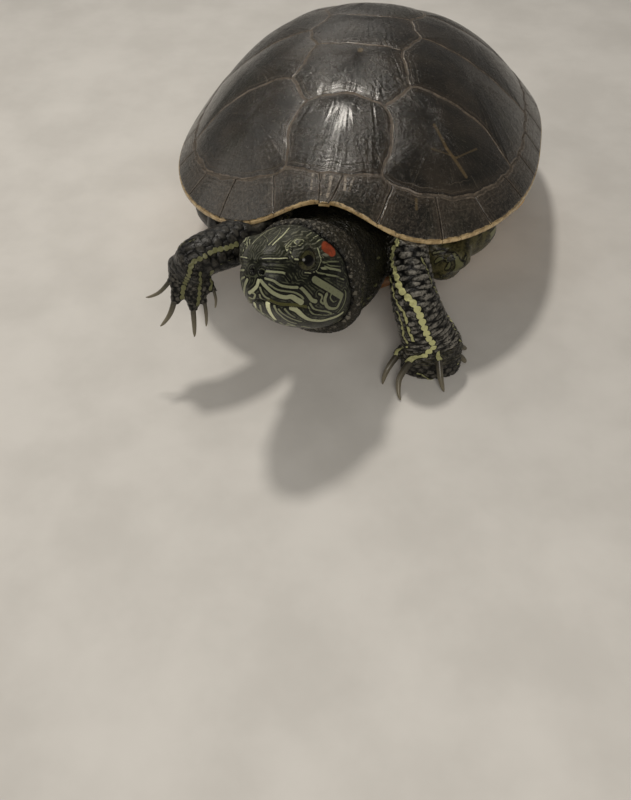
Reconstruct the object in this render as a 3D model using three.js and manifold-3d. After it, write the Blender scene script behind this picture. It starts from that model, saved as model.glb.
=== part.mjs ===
// A red-eared slider turtle at life size, standing on three feet with the right forefoot lifted.
// Millimetres, +Z up. The snout points towards -Y and the animal's left side lies towards +X.
import * as THREE from "three";
import Module from "manifold-3d";

const wasm = await Module();
wasm.setup();

// Clearance between neighbouring pieces, and below the rim, whose curve the soft parts follow coarsely.
// The last is how far a face may move to save smaller ones.
const gap = 0.3;
const rimGap = 0.6;
const faceTolerance = 0.09;

// The shell is drawn level, about the middle of its rim, then pitched and lifted into the stance.
const shell = {
  halfLength: 90,
  halfWidth: 72.3,
  domeRise: 45,
  domePower: 2.18,
  planPower: 2.64,
  rearWidening: 0.034,
  archRise: 16.2,
  archWidth: 24,
  archPower: 6,
  wall: 4,
  rimEdge: 2,
  pitch: 5,
  rimHeight: 43,
};

// Seams of the horny plates. Angles run from the front of the shell round to the rear, in degrees.
const seams = {
  // [angle, share of the way from the middle to the rim] of the marginals' upper edge
  ring: [
    [0, 0.857], [3.5, 0.857], [9, 0.845], [16.4, 0.828], [19.4, 0.853], [32.3, 0.883], [44, 0.908],
    [57.5, 0.909], [75, 0.905], [94, 0.893], [125, 0.87], [152, 0.85], [180, 0.82],
  ],
  marginalTops: [3.5, 19.4, 32.3, 44, 57.5, 70, 83, 97, 111, 125, 140, 158, 180],
  marginalRims: [1.5, 14.5, 32, 46.6, 61, 72.5, 84.5, 97.5, 111, 125, 140, 158, 180],
  pleuralEnds: [16.4, 62.5, 94, 120, 152],
  // left-hand corners of the vertebral row between its first and last, in plan
  vertebralCorners: [
    [14, -50], [21.4, -38.6], [16, -21.3], [21.2, -6.7], [15.9, 7.5], [20.5, 22], [13, 38.5],
  ],
  // plan distance between points along a seam
  step: 6,
};

const plastron = {
  front: -82,
  rear: 84,
  lobeHalfWidth: 39,
  lobePower: 3.2,
  endHalfWidth: 8,
  bridgeHalfLength: 36,
  bridgeBlend: 7,
  bridgeReach: 0.965,
  underside: -27,
  thickness: 4,
  keel: 36,
  bridgeRise: 24,
  bridgeCurve: 1.6,
  stations: [-79, -70, -56, -42, -37, -32, -12, 12, 32, 37, 42, 56, 70, 79],
  shares: [-1, -0.85, -0.7, -0.5, 0.5, 0.7, 0.85, 1],
};

const trunkForm = {
  reach: 0.8,
  belowWall: 1.7,
  belly: -22.6,
  flankRise: 10,
  sides: 24,
};

// The head is drawn pointing along -Y with the tip of its snout at the origin, then turned.
const headForm = {
  snout: [-12.9, -133.4, 68.4],
  turn: [-26.2, -33.2, -18.7],
  // [distance behind the snout, half width, crown height, chin depth]
  stations: [
    [0, 2.8, 5.6, -2.6],
    [1.2, 5.4, 7.8, -5.2],
    [4, 8.1, 10.4, -8.2],
    [8, 10.4, 12.6, -10.6],
    [13, 12.6, 14.8, -12.8],
    [19, 15, 16.2, -15],
    [26, 16.8, 16.6, -16.6],
    [32, 17, 16, -17],
    [37, 15.8, 14.4, -16],
  ],
  sectionPower: 2.3,
  sides: 18,
  mouthHeight: -5.2,
  mouthSlope: -13,
  mouthDepth: 16.5,
  // the jaw's rear edge leans back by this much over a depth of jawRoom, which clears the whole head
  jawSweep: 22,
  jawRoom: 30,
  eyeBehind: 12.1,
  eyeAside: 9.3,
  eyeHeight: 5.6,
  eyeRadius: 4.2,
  orbitAside: 7,
  orbitHeight: 6.2,
  orbitRadius: 6.2,
};

// [x, y, z, half width, half depth] along each soft form, from the trunk outwards.
const neckStations = [
  [1, -58, 40, 19, 17],
  [2, -74, 41, 20, 18],
  [2.4, -88, 42, 19.4, 19],
  [1.6, -99, 45.2, 18.8, 19],
  [0, -105.4, 49, 18.8, 18.6],
  [-1.4, -108.4, 51, 18.2, 18],
];

const forelegs = {
  left: {
    arm: [
      [18, -56, 43, 11, 11],
      [26, -70, 47, 8.6, 10],
      [28.4, -83, 47.4, 6.2, 8.4],
      [32, -93, 36, 8, 7.8],
      [37, -95.4, 25, 10.2, 7],
      [40.4, -94.4, 13, 11.2, 6.6],
      [40.6, -94, 8, 11.2, 6.6],
    ],
    fold: [
      [30, -58, 38, 11, 12],
      [41, -67, 33, 11, 12],
      [47, -72, 29, 8, 9],
      [50, -74, 27, 2.5, 3],
    ],
    across: [1, 0.25, 0],
    wrist: [40.4, -94.4, 13.6],
    wristTurn: [0.05, 0.1, -1],
    palm: [
      [40.4, -94.2, 15, 11.4, 6.8],
      [40.4, -94, 8, 11.6, 6.8],
      [40, -93.6, 2.4, 11.8, 7.2],
      [40, -93.4, -1, 11, 6.6],
    ],
    // knuckle, then where the claw starts and where it ends
    digits: [
      [[31, -93, 8], [26.2, -97.6, 8], [22.8, -103.3, 0.5]],
      [[35, -96, 8], [31.6, -102, 7.6], [30.9, -109.9, 0.5]],
      [[41, -96, 8], [42.2, -99.6, 7.4], [45.1, -104, 0.5]],
      [[44.5, -93, 7], [46.4, -96.4, 5], [47.4, -100.6, 0.5]],
      [[47, -88, 5], [50.6, -89.8, 3.6], [53, -93.4, 0.5]],
    ],
  },
  right: {
    arm: [
      [-14, -58, 44, 11, 11],
      [-20, -74, 49, 9.5, 9.5],
      [-26, -88, 52, 8, 8.4],
      [-33, -97, 52, 7.8, 8],
      [-39.8, -102.6, 51.2, 7.6, 7.4],
      [-45.2, -105.6, 49, 7.8, 5.6],
      [-47, -107.6, 44, 8.2, 4.2],
    ],
    fold: [
      [-26, -58, 39, 11, 12],
      [-37, -68, 40, 10, 11],
      [-42, -76, 41, 6, 7],
      [-44.5, -79, 41, 2, 2.5],
    ],
    across: [0.55, 0.1, 0.8],
    wrist: [-43.6, -105, 48.8],
    wristTurn: [-0.72, -0.45, -0.5],
    palm: [
      [-43, -104.4, 49.6, 7.2, 5.6],
      [-46, -106.8, 45.4, 8.6, 4.6],
      [-47, -108.4, 40.6, 9, 3.6],
      [-47, -109.6, 37.4, 7.6, 2.2],
    ],
    digits: [
      [[-49, -107, 46], [-51.2, -108.8, 41.1], [-59.2, -112, 36.4]],
      [[-48, -108, 43], [-50.2, -111.6, 35.2], [-53.5, -117, 28.3]],
      [[-45, -108, 42], [-43.4, -111.4, 33.2], [-41.9, -116, 24.2]],
      [[-42.5, -107, 42], [-40.2, -109.8, 33.4], [-38.2, -113, 27]],
      [[-40.5, -105.6, 43], [-37.4, -106.4, 37.6], [-35.7, -108.6, 32]],
    ],
  },
};

const hindlegs = {
  left: {
    leg: [
      [26, 48, 30, 14, 13],
      [42, 56, 28, 14, 12.5],
      [52, 63, 23, 11.5, 11],
      [52, 68, 16, 9.6, 9.4],
      [48, 70, 8, 9.6, 8],
    ],
    ankle: [51, 69, 12],
    heading: 12,
    heel: [46, 71],
  },
  right: {
    leg: [
      [-26, 48, 30, 14, 13],
      [-42, 48, 28, 14, 12.5],
      [-54, 47, 23, 11.5, 11],
      [-57, 49, 16, 9.6, 9.4],
      [-56, 51, 8, 9.6, 8],
    ],
    ankle: [-56.6, 50, 12],
    heading: -20,
    heel: [-55, 53],
  },
};

// A hind foot is laid out forwards from its heel: a broad paddle, then four clawed toes and a fifth without.
const hindfoot = {
  length: 23,
  halfWidth: 11.5,
  height: 7,
  toeSpread: 34,
  toeLength: 7,
  clawLength: 7,
  clawedToes: 4,
};

const tailStations = [
  [0, 62, 24, 9, 8.5],
  [3, 76, 20, 6.4, 6],
  [8, 88, 15, 4.2, 4],
  [15, 97, 11, 2.6, 2.5],
  [22, 103, 9, 1, 1],
];

const looks = {
  carapace: { color: 0x2a2521, roughness: 0.42 },
  plastron: { color: 0xc98a3a, roughness: 0.5 },
  skin: { color: 0x2f3325, roughness: 0.6 },
  eye: { color: 0x6f7a35, roughness: 0.1 },
};

// Closed solids

// A straight-line reading of a table of [place, value] rows.
function lookUp(table, place) {
  const after = table.findIndex((row) => row[0] >= place);
  if (after <= 0) {
    return table[0][1];
  }
  const [lowPlace, lowValue] = table[after - 1];
  const [highPlace, highValue] = table[after];
  return THREE.MathUtils.mapLinear(place, lowPlace, highPlace, lowValue, highValue);
}

function middle(points) {
  const sum = points.reduce((total, point) => total.add(point), new THREE.Vector3());
  return sum.divideScalar(points.length);
}

function volumeOf(points, faces) {
  const cross = new THREE.Vector3();
  return faces.reduce((total, [a, b, c]) => {
    cross.crossVectors(points[b], points[c]);
    return total + points[a].dot(cross) / 6;
  }, 0);
}

function manifoldFrom(points, faces) {
  const outward = volumeOf(points, faces) > 0;
  const turned = outward ? faces : faces.map(([a, b, c]) => [a, c, b]);
  const vertProperties = new Float32Array(points.flatMap((point) => point.toArray()));
  const triVerts = new Uint32Array(turned.flat());
  return new wasm.Manifold(new wasm.Mesh({ numProp: 3, vertProperties, triVerts }));
}

// Skins a row of loops that all have the same number of points, and closes both ends with fans.
function loft(rows, startTip = middle(rows[0]), endTip = middle(rows[rows.length - 1])) {
  const count = rows[0].length;
  const points = [...rows.flat(), startTip, endTip];
  const faces = [];
  const lastRow = (rows.length - 1) * count;
  for (let column = 0; column < count; column += 1) {
    const next = (column + 1) % count;
    for (let row = 0; row < lastRow; row += count) {
      faces.push([row + column, row + next, row + count + next]);
      faces.push([row + column, row + count + next, row + count + column]);
    }
    faces.push([points.length - 2, next, column]);
    faces.push([points.length - 1, lastRow + column, lastRow + next]);
  }
  return manifoldFrom(points, faces);
}

// Skins loops that run right round and meet the first one again.
function loopedLoft(rows) {
  const count = rows[0].length;
  const total = rows.length * count;
  const faces = [];
  for (let row = 0; row < total; row += count) {
    for (let column = 0; column < count; column += 1) {
      const next = (column + 1) % count;
      const below = (row + count) % total;
      faces.push([row + column, row + next, below + next]);
      faces.push([row + column, below + next, below + column]);
    }
  }
  return manifoldFrom(rows.flat(), faces);
}

// A round form along a smooth path. Its half width lies along "across", as near as the path allows.
function limb(stations, across, sides, stepsEach = 2, swell = 0) {
  const path = new THREE.CatmullRomCurve3(stations.map(([x, y, z]) => new THREE.Vector3(x, y, z)));
  const sizes = new THREE.CatmullRomCurve3(
    stations.map((station) => new THREE.Vector3(station[3], station[4], 0)),
  );
  const steps = (stations.length - 1) * stepsEach;
  const rows = [];
  for (let step = 0; step <= steps; step += 1) {
    const share = step / steps;
    const centre = path.getPoint(share);
    const size = sizes.getPoint(share);
    const tangent = path.getTangent(share);
    const side = new THREE.Vector3(...across).projectOnPlane(tangent).normalize();
    const up = new THREE.Vector3().crossVectors(tangent, side);
    rows.push(Array.from({ length: sides }, (_, index) => {
      const angle = (2 * Math.PI * index) / sides;
      return centre
        .clone()
        .addScaledVector(side, Math.cos(angle) * (size.x + swell))
        .addScaledVector(up, Math.sin(angle) * (size.y + swell));
    }));
  }
  return loft(rows);
}

function unite(solids) {
  return solids.reduce((whole, solid) => whole.add(solid));
}

// The largest of the bodies that cutting has left.
function mainBody(solid) {
  return solid.decompose().reduce((best, body) => (body.volume() > best.volume() ? body : best));
}

// The side of a solid that lies beyond a plane through "point", which "direction" looks at.
function beyond(solid, point, direction) {
  const normal = new THREE.Vector3(...direction).normalize();
  return solid.trimByPlane(normal.toArray(), normal.dot(new THREE.Vector3(...point)));
}

// The carapace

// A point in plan: an angle round from the front, and a share of the way out to the rim.
function planPoint(angle, share) {
  const turn = THREE.MathUtils.degToRad(angle);
  const power = shell.planPower;
  const stretch = (Math.abs(Math.sin(turn)) ** power + Math.abs(Math.cos(turn)) ** power) ** (-1 / power);
  const along = -Math.cos(turn) * stretch * share;
  const across = Math.sin(turn) * stretch * share * (1 + shell.rearWidening * along);
  return new THREE.Vector2(across * shell.halfWidth, along * shell.halfLength);
}

function rimShare({ x, y }) {
  const along = y / shell.halfLength;
  const across = x / (shell.halfWidth * (1 + shell.rearWidening * along));
  const power = shell.planPower;
  return (Math.abs(across) ** power + Math.abs(along) ** power) ** (1 / power);
}

// A low dome over the plan, whose front edge arches up over the neck.
function domeHeight(x, y) {
  const frontness = Math.max(-y / shell.halfLength, 0) ** shell.archPower;
  const arch = shell.archRise * Math.exp(-((x / shell.archWidth) ** 2)) * frontness;
  return arch + shell.domeRise * (1 - rimShare({ x, y }) ** shell.domePower);
}

// The point of the dome over a plan point, sunk by a depth along the dome's normal.
function domePoint({ x, y }, depth = 0) {
  const reach = 0.5;
  const slopeX = (domeHeight(x + reach, y) - domeHeight(x - reach, y)) / (2 * reach);
  const slopeY = (domeHeight(x, y + reach) - domeHeight(x, y - reach)) / (2 * reach);
  const inward = new THREE.Vector3(slopeX, slopeY, -1).normalize();
  return new THREE.Vector3(x, y, domeHeight(x, y)).addScaledVector(inward, depth);
}

// Angles at which the ring of marginals is divided, shared by the plates on both sides of it.
function ringAngles(from, to) {
  const angles = [0, ...seams.pleuralEnds];
  seams.marginalTops.forEach((angle, index) => {
    const next = seams.marginalTops[index + 1] ?? angle;
    angles.push(angle, (2 * angle + next) / 3, (angle + 2 * next) / 3);
  });
  const inside = angles.filter((angle) => angle >= from - 0.01 && angle <= to + 0.01);
  inside.sort((a, b) => a - b);
  return inside.filter((angle, index) => index === 0 || angle - inside[index - 1] > 0.5);
}

function ringPoint(angle) {
  return planPoint(angle, lookUp(seams.ring, Math.abs(angle)));
}

// Points from one seam corner up to, but not including, the next.
function seamPoints(from, to) {
  const count = Math.max(1, Math.round(from.distanceTo(to) / seams.step));
  return Array.from({ length: count }, (_, index) => from.clone().lerp(to, index / count));
}

function mirrored(points) {
  return points.map(({ x, y }) => new THREE.Vector2(-x, y));
}

// Draws a plan outline in by a distance, so that neighbouring plates leave a seam.
function drawnIn(outline, distance) {
  const turning = THREE.ShapeUtils.area(outline) > 0 ? 1 : -1;
  return outline.map((point, index) => {
    const before = outline[(index + outline.length - 1) % outline.length];
    const after = outline[(index + 1) % outline.length];
    const arriving = point.clone().sub(before).normalize();
    const leaving = after.clone().sub(point).normalize();
    const inward = arriving.add(leaving).normalize().rotateAround(new THREE.Vector2(), Math.PI / 2);
    return point.clone().addScaledVector(inward, turning * distance);
  });
}

// A horny plate with its share of the shell wall under it.
function plate(outline) {
  const edge = drawnIn(outline, gap / 2);
  const centre = edge.reduce((sum, point) => sum.add(point), new THREE.Vector2()).divideScalar(edge.length);
  const ring = (share, depth) => edge.map((point) => domePoint(centre.clone().lerp(point, share), depth));
  const rows = [ring(0.5, 0), ring(1, 0), ring(1, shell.wall)];
  return loft(rows, domePoint(centre), domePoint(centre, shell.wall));
}

const vertebralCorners = [
  ringPoint(seams.pleuralEnds[0]),
  ...seams.vertebralCorners.map(([x, y]) => new THREE.Vector2(x, y)),
  ringPoint(seams.pleuralEnds[4]),
];

// The left edge of the vertebral row between two of its corners.
function vertebralEdge(first, last) {
  const points = [];
  for (let corner = first; corner < last; corner += 1) {
    points.push(...seamPoints(vertebralCorners[corner], vertebralCorners[corner + 1]));
  }
  return [...points, vertebralCorners[last]];
}

function vertebralOutline(row) {
  const firstCorner = Math.max(2 * row - 3, 0);
  const lastCorner = Math.min(2 * row - 1, 8);
  const left = vertebralEdge(firstCorner, lastCorner);
  const right = mirrored(left).reverse();
  const rear = row === 5 ? ringAngles(seams.pleuralEnds[4], 180).map(ringPoint) : [];
  const front = row === 1 ? ringAngles(seams.marginalTops[0], seams.pleuralEnds[0]).map(ringPoint) : [];
  const rearSeam = row === 5
    ? [...rear.slice(1), ...mirrored(rear.slice(1, -1)).reverse()]
    : crossSeam(vertebralCorners[lastCorner]);
  const frontSeam = row === 1
    ? [...mirrored(front.slice(0, -1)).reverse(), ...front.slice(0, -1)]
    : crossSeam(vertebralCorners[firstCorner]).reverse();
  return [...left, ...rearSeam, ...right, ...frontSeam];
}

// The inner points of the seam that joins a corner to its mirror image.
function crossSeam(corner) {
  const other = new THREE.Vector2(-corner.x, corner.y);
  return seamPoints(corner, other).slice(1);
}

// The seam between two pleurals, from the vertebral row out to the marginals.
function pleuralSeam(number) {
  const inner = vertebralCorners[2 * number];
  const outer = ringPoint(seams.pleuralEnds[number]);
  return [...seamPoints(inner, outer), outer];
}

function pleuralOutline(number) {
  const inner = vertebralEdge(2 * number - 2, 2 * number);
  const rear = number === 4 ? [inner[inner.length - 1]] : pleuralSeam(number);
  const front = number === 1 ? [inner[0]] : pleuralSeam(number - 1);
  const outer = ringAngles(seams.pleuralEnds[number - 1], seams.pleuralEnds[number]).map(ringPoint);
  return [...inner.slice(0, -1), ...rear, ...outer.reverse().slice(1, -1), ...front.reverse().slice(0, -1)];
}

// The cross-section of a marginal from its upper edge out over the rim and back underneath.
function marginalSection(topAngle, rimAngle, lip = 1) {
  const upper = lookUp(seams.ring, Math.abs(topAngle)) + gap / 2 / shell.halfWidth;
  const between = (upper + 1) / 2;
  const middleAngle = (topAngle + rimAngle) / 2;
  const rim = domePoint(planPoint(rimAngle, lip));
  const underRim = planPoint(rimAngle, lip - 0.008);
  return [
    domePoint(planPoint(topAngle, upper)),
    domePoint(planPoint(middleAngle, between)),
    rim,
    new THREE.Vector3(underRim.x, underRim.y, rim.z - shell.rimEdge),
    domePoint(planPoint(middleAngle, between), shell.wall),
    domePoint(planPoint(topAngle, upper), shell.wall),
  ];
}

// Half the seam between two marginals, as an angle.
const seamAngle = THREE.MathUtils.radToDeg(gap / 2 / shell.halfWidth);

function marginal(number) {
  const firstTop = seams.marginalTops[number - 1];
  const lastTop = seams.marginalTops[number];
  const angles = ringAngles(firstTop, lastTop);
  angles[0] += seamAngle;
  angles[angles.length - 1] -= seamAngle;
  const rimFrom = seams.marginalRims[number - 1] + seamAngle;
  const rimTo = seams.marginalRims[number] - seamAngle;
  return loft(angles.map((angle) => {
    const rimAngle = THREE.MathUtils.mapLinear(angle, angles[0], angles[angles.length - 1], rimFrom, rimTo);
    return marginalSection(angle, rimAngle);
  }));
}

// The small middle scute of the front edge, whose tip passes the rim.
function nuchal() {
  const topHalf = seams.marginalTops[0] - seamAngle;
  const rimHalf = seams.marginalRims[0] - seamAngle;
  return loft([-1, 0, 1].map((side) => marginalSection(side * topHalf, side * rimHalf, 1.018)));
}

// A ring just larger than the rim, which keeps the soft parts clear of it.
function rimClearance() {
  const rows = [];
  for (let angle = -180; angle < 180; angle += 7.5) {
    const upper = lookUp(seams.ring, Math.abs(angle)) - 0.03;
    const between = (upper + 1) / 2;
    const outside = planPoint(angle, 1.1);
    const rim = domePoint(planPoint(angle, 1.02));
    rows.push([
      domePoint(planPoint(angle, upper), -6),
      new THREE.Vector3(outside.x, outside.y, rim.z + 6),
      new THREE.Vector3(outside.x, outside.y, rim.z - shell.rimEdge - rimGap),
      rim.clone().setZ(rim.z - shell.rimEdge - rimGap),
      domePoint(planPoint(angle, between), shell.wall + rimGap),
      domePoint(planPoint(angle, upper), shell.wall + rimGap),
    ]);
  }
  return loopedLoft(rows);
}

// The plastron and its bridges, as one slab whose sides climb to the rim between the legs.
function plastronHalfWidth(y) {
  const centre = (plastron.front + plastron.rear) / 2;
  const halfLength = (plastron.rear - plastron.front) / 2;
  const along = Math.min(Math.abs(y - centre) / halfLength, 1);
  const lobe = plastron.lobeHalfWidth * Math.sqrt(1 - along ** plastron.lobePower);
  const past = plastron.bridgeHalfLength + plastron.bridgeBlend - Math.abs(y);
  const bridgeShare = THREE.MathUtils.smoothstep(past, 0, plastron.bridgeBlend);
  const narrowing = (1 - Math.abs(y / shell.halfLength) ** shell.planPower) ** (1 / shell.planPower);
  const rimWidth = plastron.bridgeReach * shell.halfWidth * narrowing;
  return THREE.MathUtils.lerp(lobe, rimWidth, bridgeShare);
}

function plastronSection(y, clearance) {
  const half = Math.max(plastronHalfWidth(y), plastron.endHalfWidth) + clearance;
  const { shares, thickness, underside } = plastron;
  const lift = (x) => {
    const outward = Math.max(Math.abs(x) - plastron.keel, 0) / (shell.halfWidth - plastron.keel);
    return plastron.bridgeRise * outward ** plastron.bridgeCurve;
  };
  const bottom = shares.map((share) => {
    const x = share * half;
    return new THREE.Vector3(x, y, underside + lift(x) - clearance);
  });
  const top = shares.map((share) => {
    const x = share * half;
    return new THREE.Vector3(x, y, underside + thickness + lift(x) + clearance);
  });
  return [...bottom, ...top.reverse()];
}

function plastronSlab(clearance) {
  const { front, rear, stations } = plastron;
  const places = [front - clearance, ...stations, rear + clearance];
  return loft(places.map((y) => plastronSection(y, clearance)));
}

// The trunk fills the shell. Between the bridges its flanks run up to the marginals as loose skin.
function trunkBlob(swell) {
  const { reach, belowWall, belly, flankRise, sides } = trunkForm;
  const outer = reach + swell / shell.halfWidth;
  const topRing = (share) => Array.from({ length: sides }, (_, index) => {
    const plan = planPoint((360 * index) / sides, outer * share);
    return domePoint(plan, shell.wall + belowWall - swell);
  });
  const bottomRing = (share, rise) => Array.from({ length: sides }, (_, index) => {
    const { x, y } = planPoint((360 * index) / sides, outer * share);
    return new THREE.Vector3(x, y, belly - swell + rise);
  });
  const rows = [
    topRing(0.3), topRing(0.6), topRing(0.85), topRing(1),
    bottomRing(1.02, flankRise), bottomRing(0.9, flankRise / 3), bottomRing(0.6, 0),
  ];
  const crown = domePoint(new THREE.Vector2(), shell.wall + belowWall - swell);
  return loft(rows, crown, new THREE.Vector3(0, 0, belly - swell));
}

// The shell's pitch and height in the stance.
const stance = new THREE.Matrix4()
  .makeTranslation(0, 0, shell.rimHeight)
  .multiply(new THREE.Matrix4().makeRotationX(-THREE.MathUtils.degToRad(shell.pitch)));

function inStance(solid) {
  return solid.transform(stance.toArray());
}

// The head

const headPlace = new THREE.Matrix4()
  .makeTranslation(...headForm.snout)
  .multiply(new THREE.Matrix4().makeRotationFromEuler(new THREE.Euler(
    THREE.MathUtils.degToRad(headForm.turn[1]),
    THREE.MathUtils.degToRad(headForm.turn[2]),
    THREE.MathUtils.degToRad(headForm.turn[0]),
    "ZXY",
  )));

function headSolid(swell) {
  const { stations, sides, sectionPower } = headForm;
  const rows = stations.map(([behind, halfWidth, crown, chin]) => {
    const seat = (crown + chin) / 2;
    return Array.from({ length: sides }, (_, index) => {
      const angle = (2 * Math.PI * (index + 0.5)) / sides;
      const across = Math.sign(Math.cos(angle)) * Math.abs(Math.cos(angle)) ** (2 / sectionPower);
      const upright = Math.sign(Math.sin(angle)) * Math.abs(Math.sin(angle)) ** (2 / sectionPower);
      const height = (crown - chin) / 2 + swell;
      return new THREE.Vector3(across * (halfWidth + swell), behind, seat + upright * height);
    });
  });
  const [lastBehind, , crown, chin] = stations[stations.length - 1];
  const back = new THREE.Vector3(0, lastBehind + 1.5 + swell, (crown + chin) / 2);
  const front = new THREE.Vector3(0, -0.4 - swell, 2.1);
  return loft(rows, front, back);
}

function ball(centre, radius) {
  const rows = [36, 72, 108, 144].map((down) => {
    const polar = THREE.MathUtils.degToRad(down);
    return Array.from({ length: 9 }, (_, index) => {
      const spin = (2 * Math.PI * index) / 9;
      return new THREE.Vector3().setFromSphericalCoords(radius, polar, spin).add(centre);
    });
  });
  const top = new THREE.Vector3(0, radius, 0).add(centre);
  const bottom = new THREE.Vector3(0, -radius, 0).add(centre);
  return loft(rows, top, bottom);
}

// The block below the mouth line, from ahead of the snout back to the corner of the mouth.
function jawBlock(drawIn) {
  const { mouthHeight, mouthSlope, mouthDepth, jawSweep, jawRoom } = headForm;
  const slope = new THREE.Euler(THREE.MathUtils.degToRad(mouthSlope), 0, 0);
  const rows = [[jawRoom, jawSweep], [drawIn, 0]].map(([below, sweep]) => {
    const back = mouthDepth + sweep - drawIn;
    return [[-jawRoom, -jawRoom], [jawRoom, -jawRoom], [jawRoom, back], [-jawRoom, back]].map(([x, y]) => {
      const corner = new THREE.Vector3(x, y, -below).applyEuler(slope);
      return corner.setZ(corner.z + mouthHeight);
    });
  });
  return loft(rows);
}

// Feet

function digit([knuckle, clawRoot, clawTip], thickness, sides) {
  const root = new THREE.Vector3(...clawRoot);
  const tip = new THREE.Vector3(...clawTip);
  const toe = [
    [...knuckle, thickness * 1.15, thickness],
    [...root.clone().lerp(new THREE.Vector3(...knuckle), 0.4).toArray(), thickness, thickness * 0.9],
    [...clawRoot, thickness * 0.72, thickness * 0.68],
  ];
  const bend = root.distanceTo(tip) * 0.16;
  const arch = root.clone().lerp(tip, 0.5).setZ((root.z + tip.z) / 2 + bend);
  const clawStart = root.clone().lerp(new THREE.Vector3(...knuckle), 0.25);
  const claw = [
    [...clawStart.toArray(), 1.2, 1.5],
    [...root.clone().lerp(arch, 0.5).toArray(), 1.1, 1.35],
    [...arch.toArray(), 0.85, 1],
    [...tip.toArray(), 0.3, 0.3],
  ];
  const across = new THREE.Vector3(0, 0, 1).cross(tip.clone().sub(root)).toArray();
  return unite([limb(toe, across, sides, 1), limb(claw, across, sides - 1, 1)]);
}

function forefoot({ palm, digits, across }) {
  return unite([limb(palm, across, 9, 1), ...digits.map((points) => digit(points, 2.9, 6))]);
}

function hindfootSolid({ heading, heel }) {
  const { length, halfWidth, height, toeSpread, toeLength, clawLength, clawedToes } = hindfoot;
  const aim = THREE.MathUtils.degToRad(heading);
  const place = (forward, aside, up) => [
    heel[0] + Math.sin(aim) * forward + Math.cos(aim) * aside,
    heel[1] - Math.cos(aim) * forward + Math.sin(aim) * aside,
    up,
  ];
  const paddle = [
    [...place(-3, 0, height * 0.5), halfWidth * 0.55, height * 0.6],
    [...place(length * 0.3, 0, height * 0.45), halfWidth * 0.85, height * 0.75],
    [...place(length * 0.7, 0, height * 0.35), halfWidth, height * 0.55],
    [...place(length, 0, height * 0.25), halfWidth * 0.8, height * 0.3],
  ];
  const toes = [-1, -0.5, 0, 0.5, 1].map((aside, index) => {
    const splay = THREE.MathUtils.degToRad(aside * toeSpread);
    const start = length * 0.62;
    const along = (distance, up) => place(
      start + Math.cos(splay) * distance,
      Math.sin(splay) * distance + aside * halfWidth * 0.55,
      up,
    );
    const reach = length * 0.3 + toeLength;
    const claw = index < clawedToes ? clawLength : 3;
    return digit([along(0, 3.2), along(reach, 2.6), along(reach + claw, 0.5)], 2.6, 5);
  });
  return unite([limb(paddle, [Math.cos(aim), Math.sin(aim), 0], 8, 1), ...toes]);
}

// Assembly

const turtle = new THREE.Group();
const solids = new Map();

for (let row = 1; row <= 5; row += 1) {
  solids.set(`vertebral_${row}`, ["carapace", inStance(plate(vertebralOutline(row)))]);
}
solids.set("nuchal", ["carapace", inStance(nuchal())]);

for (const side of ["left", "right"]) {
  const flip = (solid) => (side === "left" ? solid : solid.mirror([1, 0, 0]));
  for (let number = 1; number <= 4; number += 1) {
    solids.set(`pleural_${side}_${number}`, ["carapace", inStance(flip(plate(pleuralOutline(number))))]);
  }
  for (let number = 1; number <= 12; number += 1) {
    solids.set(`marginal_${side}_${number}`, ["carapace", inStance(flip(marginal(number)))]);
  }
}

const rimRoom = rimClearance();
const plastronRoom = inStance(plastronSlab(gap));
const shellRoom = inStance(rimRoom).add(plastronRoom);
solids.set("plastron", ["plastron", inStance(plastronSlab(0).subtract(rimRoom))]);
solids.set("trunk", ["skin", inStance(trunkBlob(0)).subtract(shellRoom)]);

const trunkRoom = inStance(trunkBlob(gap));
const headRoom = headSolid(gap).transform(headPlace.toArray());
const neckAcross = [1, 0.05, 0];
const neck = limb(neckStations, neckAcross, 13);
solids.set("neck", ["skin", neck.subtract(trunkRoom).subtract(shellRoom).subtract(headRoom)]);

const eyes = [1, -1].map((side) => (
  new THREE.Vector3(side * headForm.eyeAside, headForm.eyeBehind, headForm.eyeHeight)
));
const sockets = unite(eyes.map((centre) => ball(centre, headForm.eyeRadius + gap)));
const orbits = unite([1, -1].map((side) => (
  ball(new THREE.Vector3(side * headForm.orbitAside, headForm.eyeBehind, headForm.orbitHeight), headForm.orbitRadius)
)));
const skull = headSolid(0).add(orbits).subtract(sockets);
solids.set("head", ["skin", skull.subtract(jawBlock(0)).transform(headPlace.toArray())]);
solids.set("lower_jaw", ["skin", headSolid(0).intersect(jawBlock(gap)).transform(headPlace.toArray())]);
["left", "right"].forEach((side, index) => {
  const eye = ball(eyes[index], headForm.eyeRadius).transform(headPlace.toArray());
  solids.set(`eye_${side}`, ["eye", eye]);
});

const neckRoom = limb(neckStations, neckAcross, 13, 2, gap);
const bodyRoom = unite([trunkRoom, shellRoom, neckRoom]);
const floor = [[0, 0, 0], [0, 0, 1]];

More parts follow.
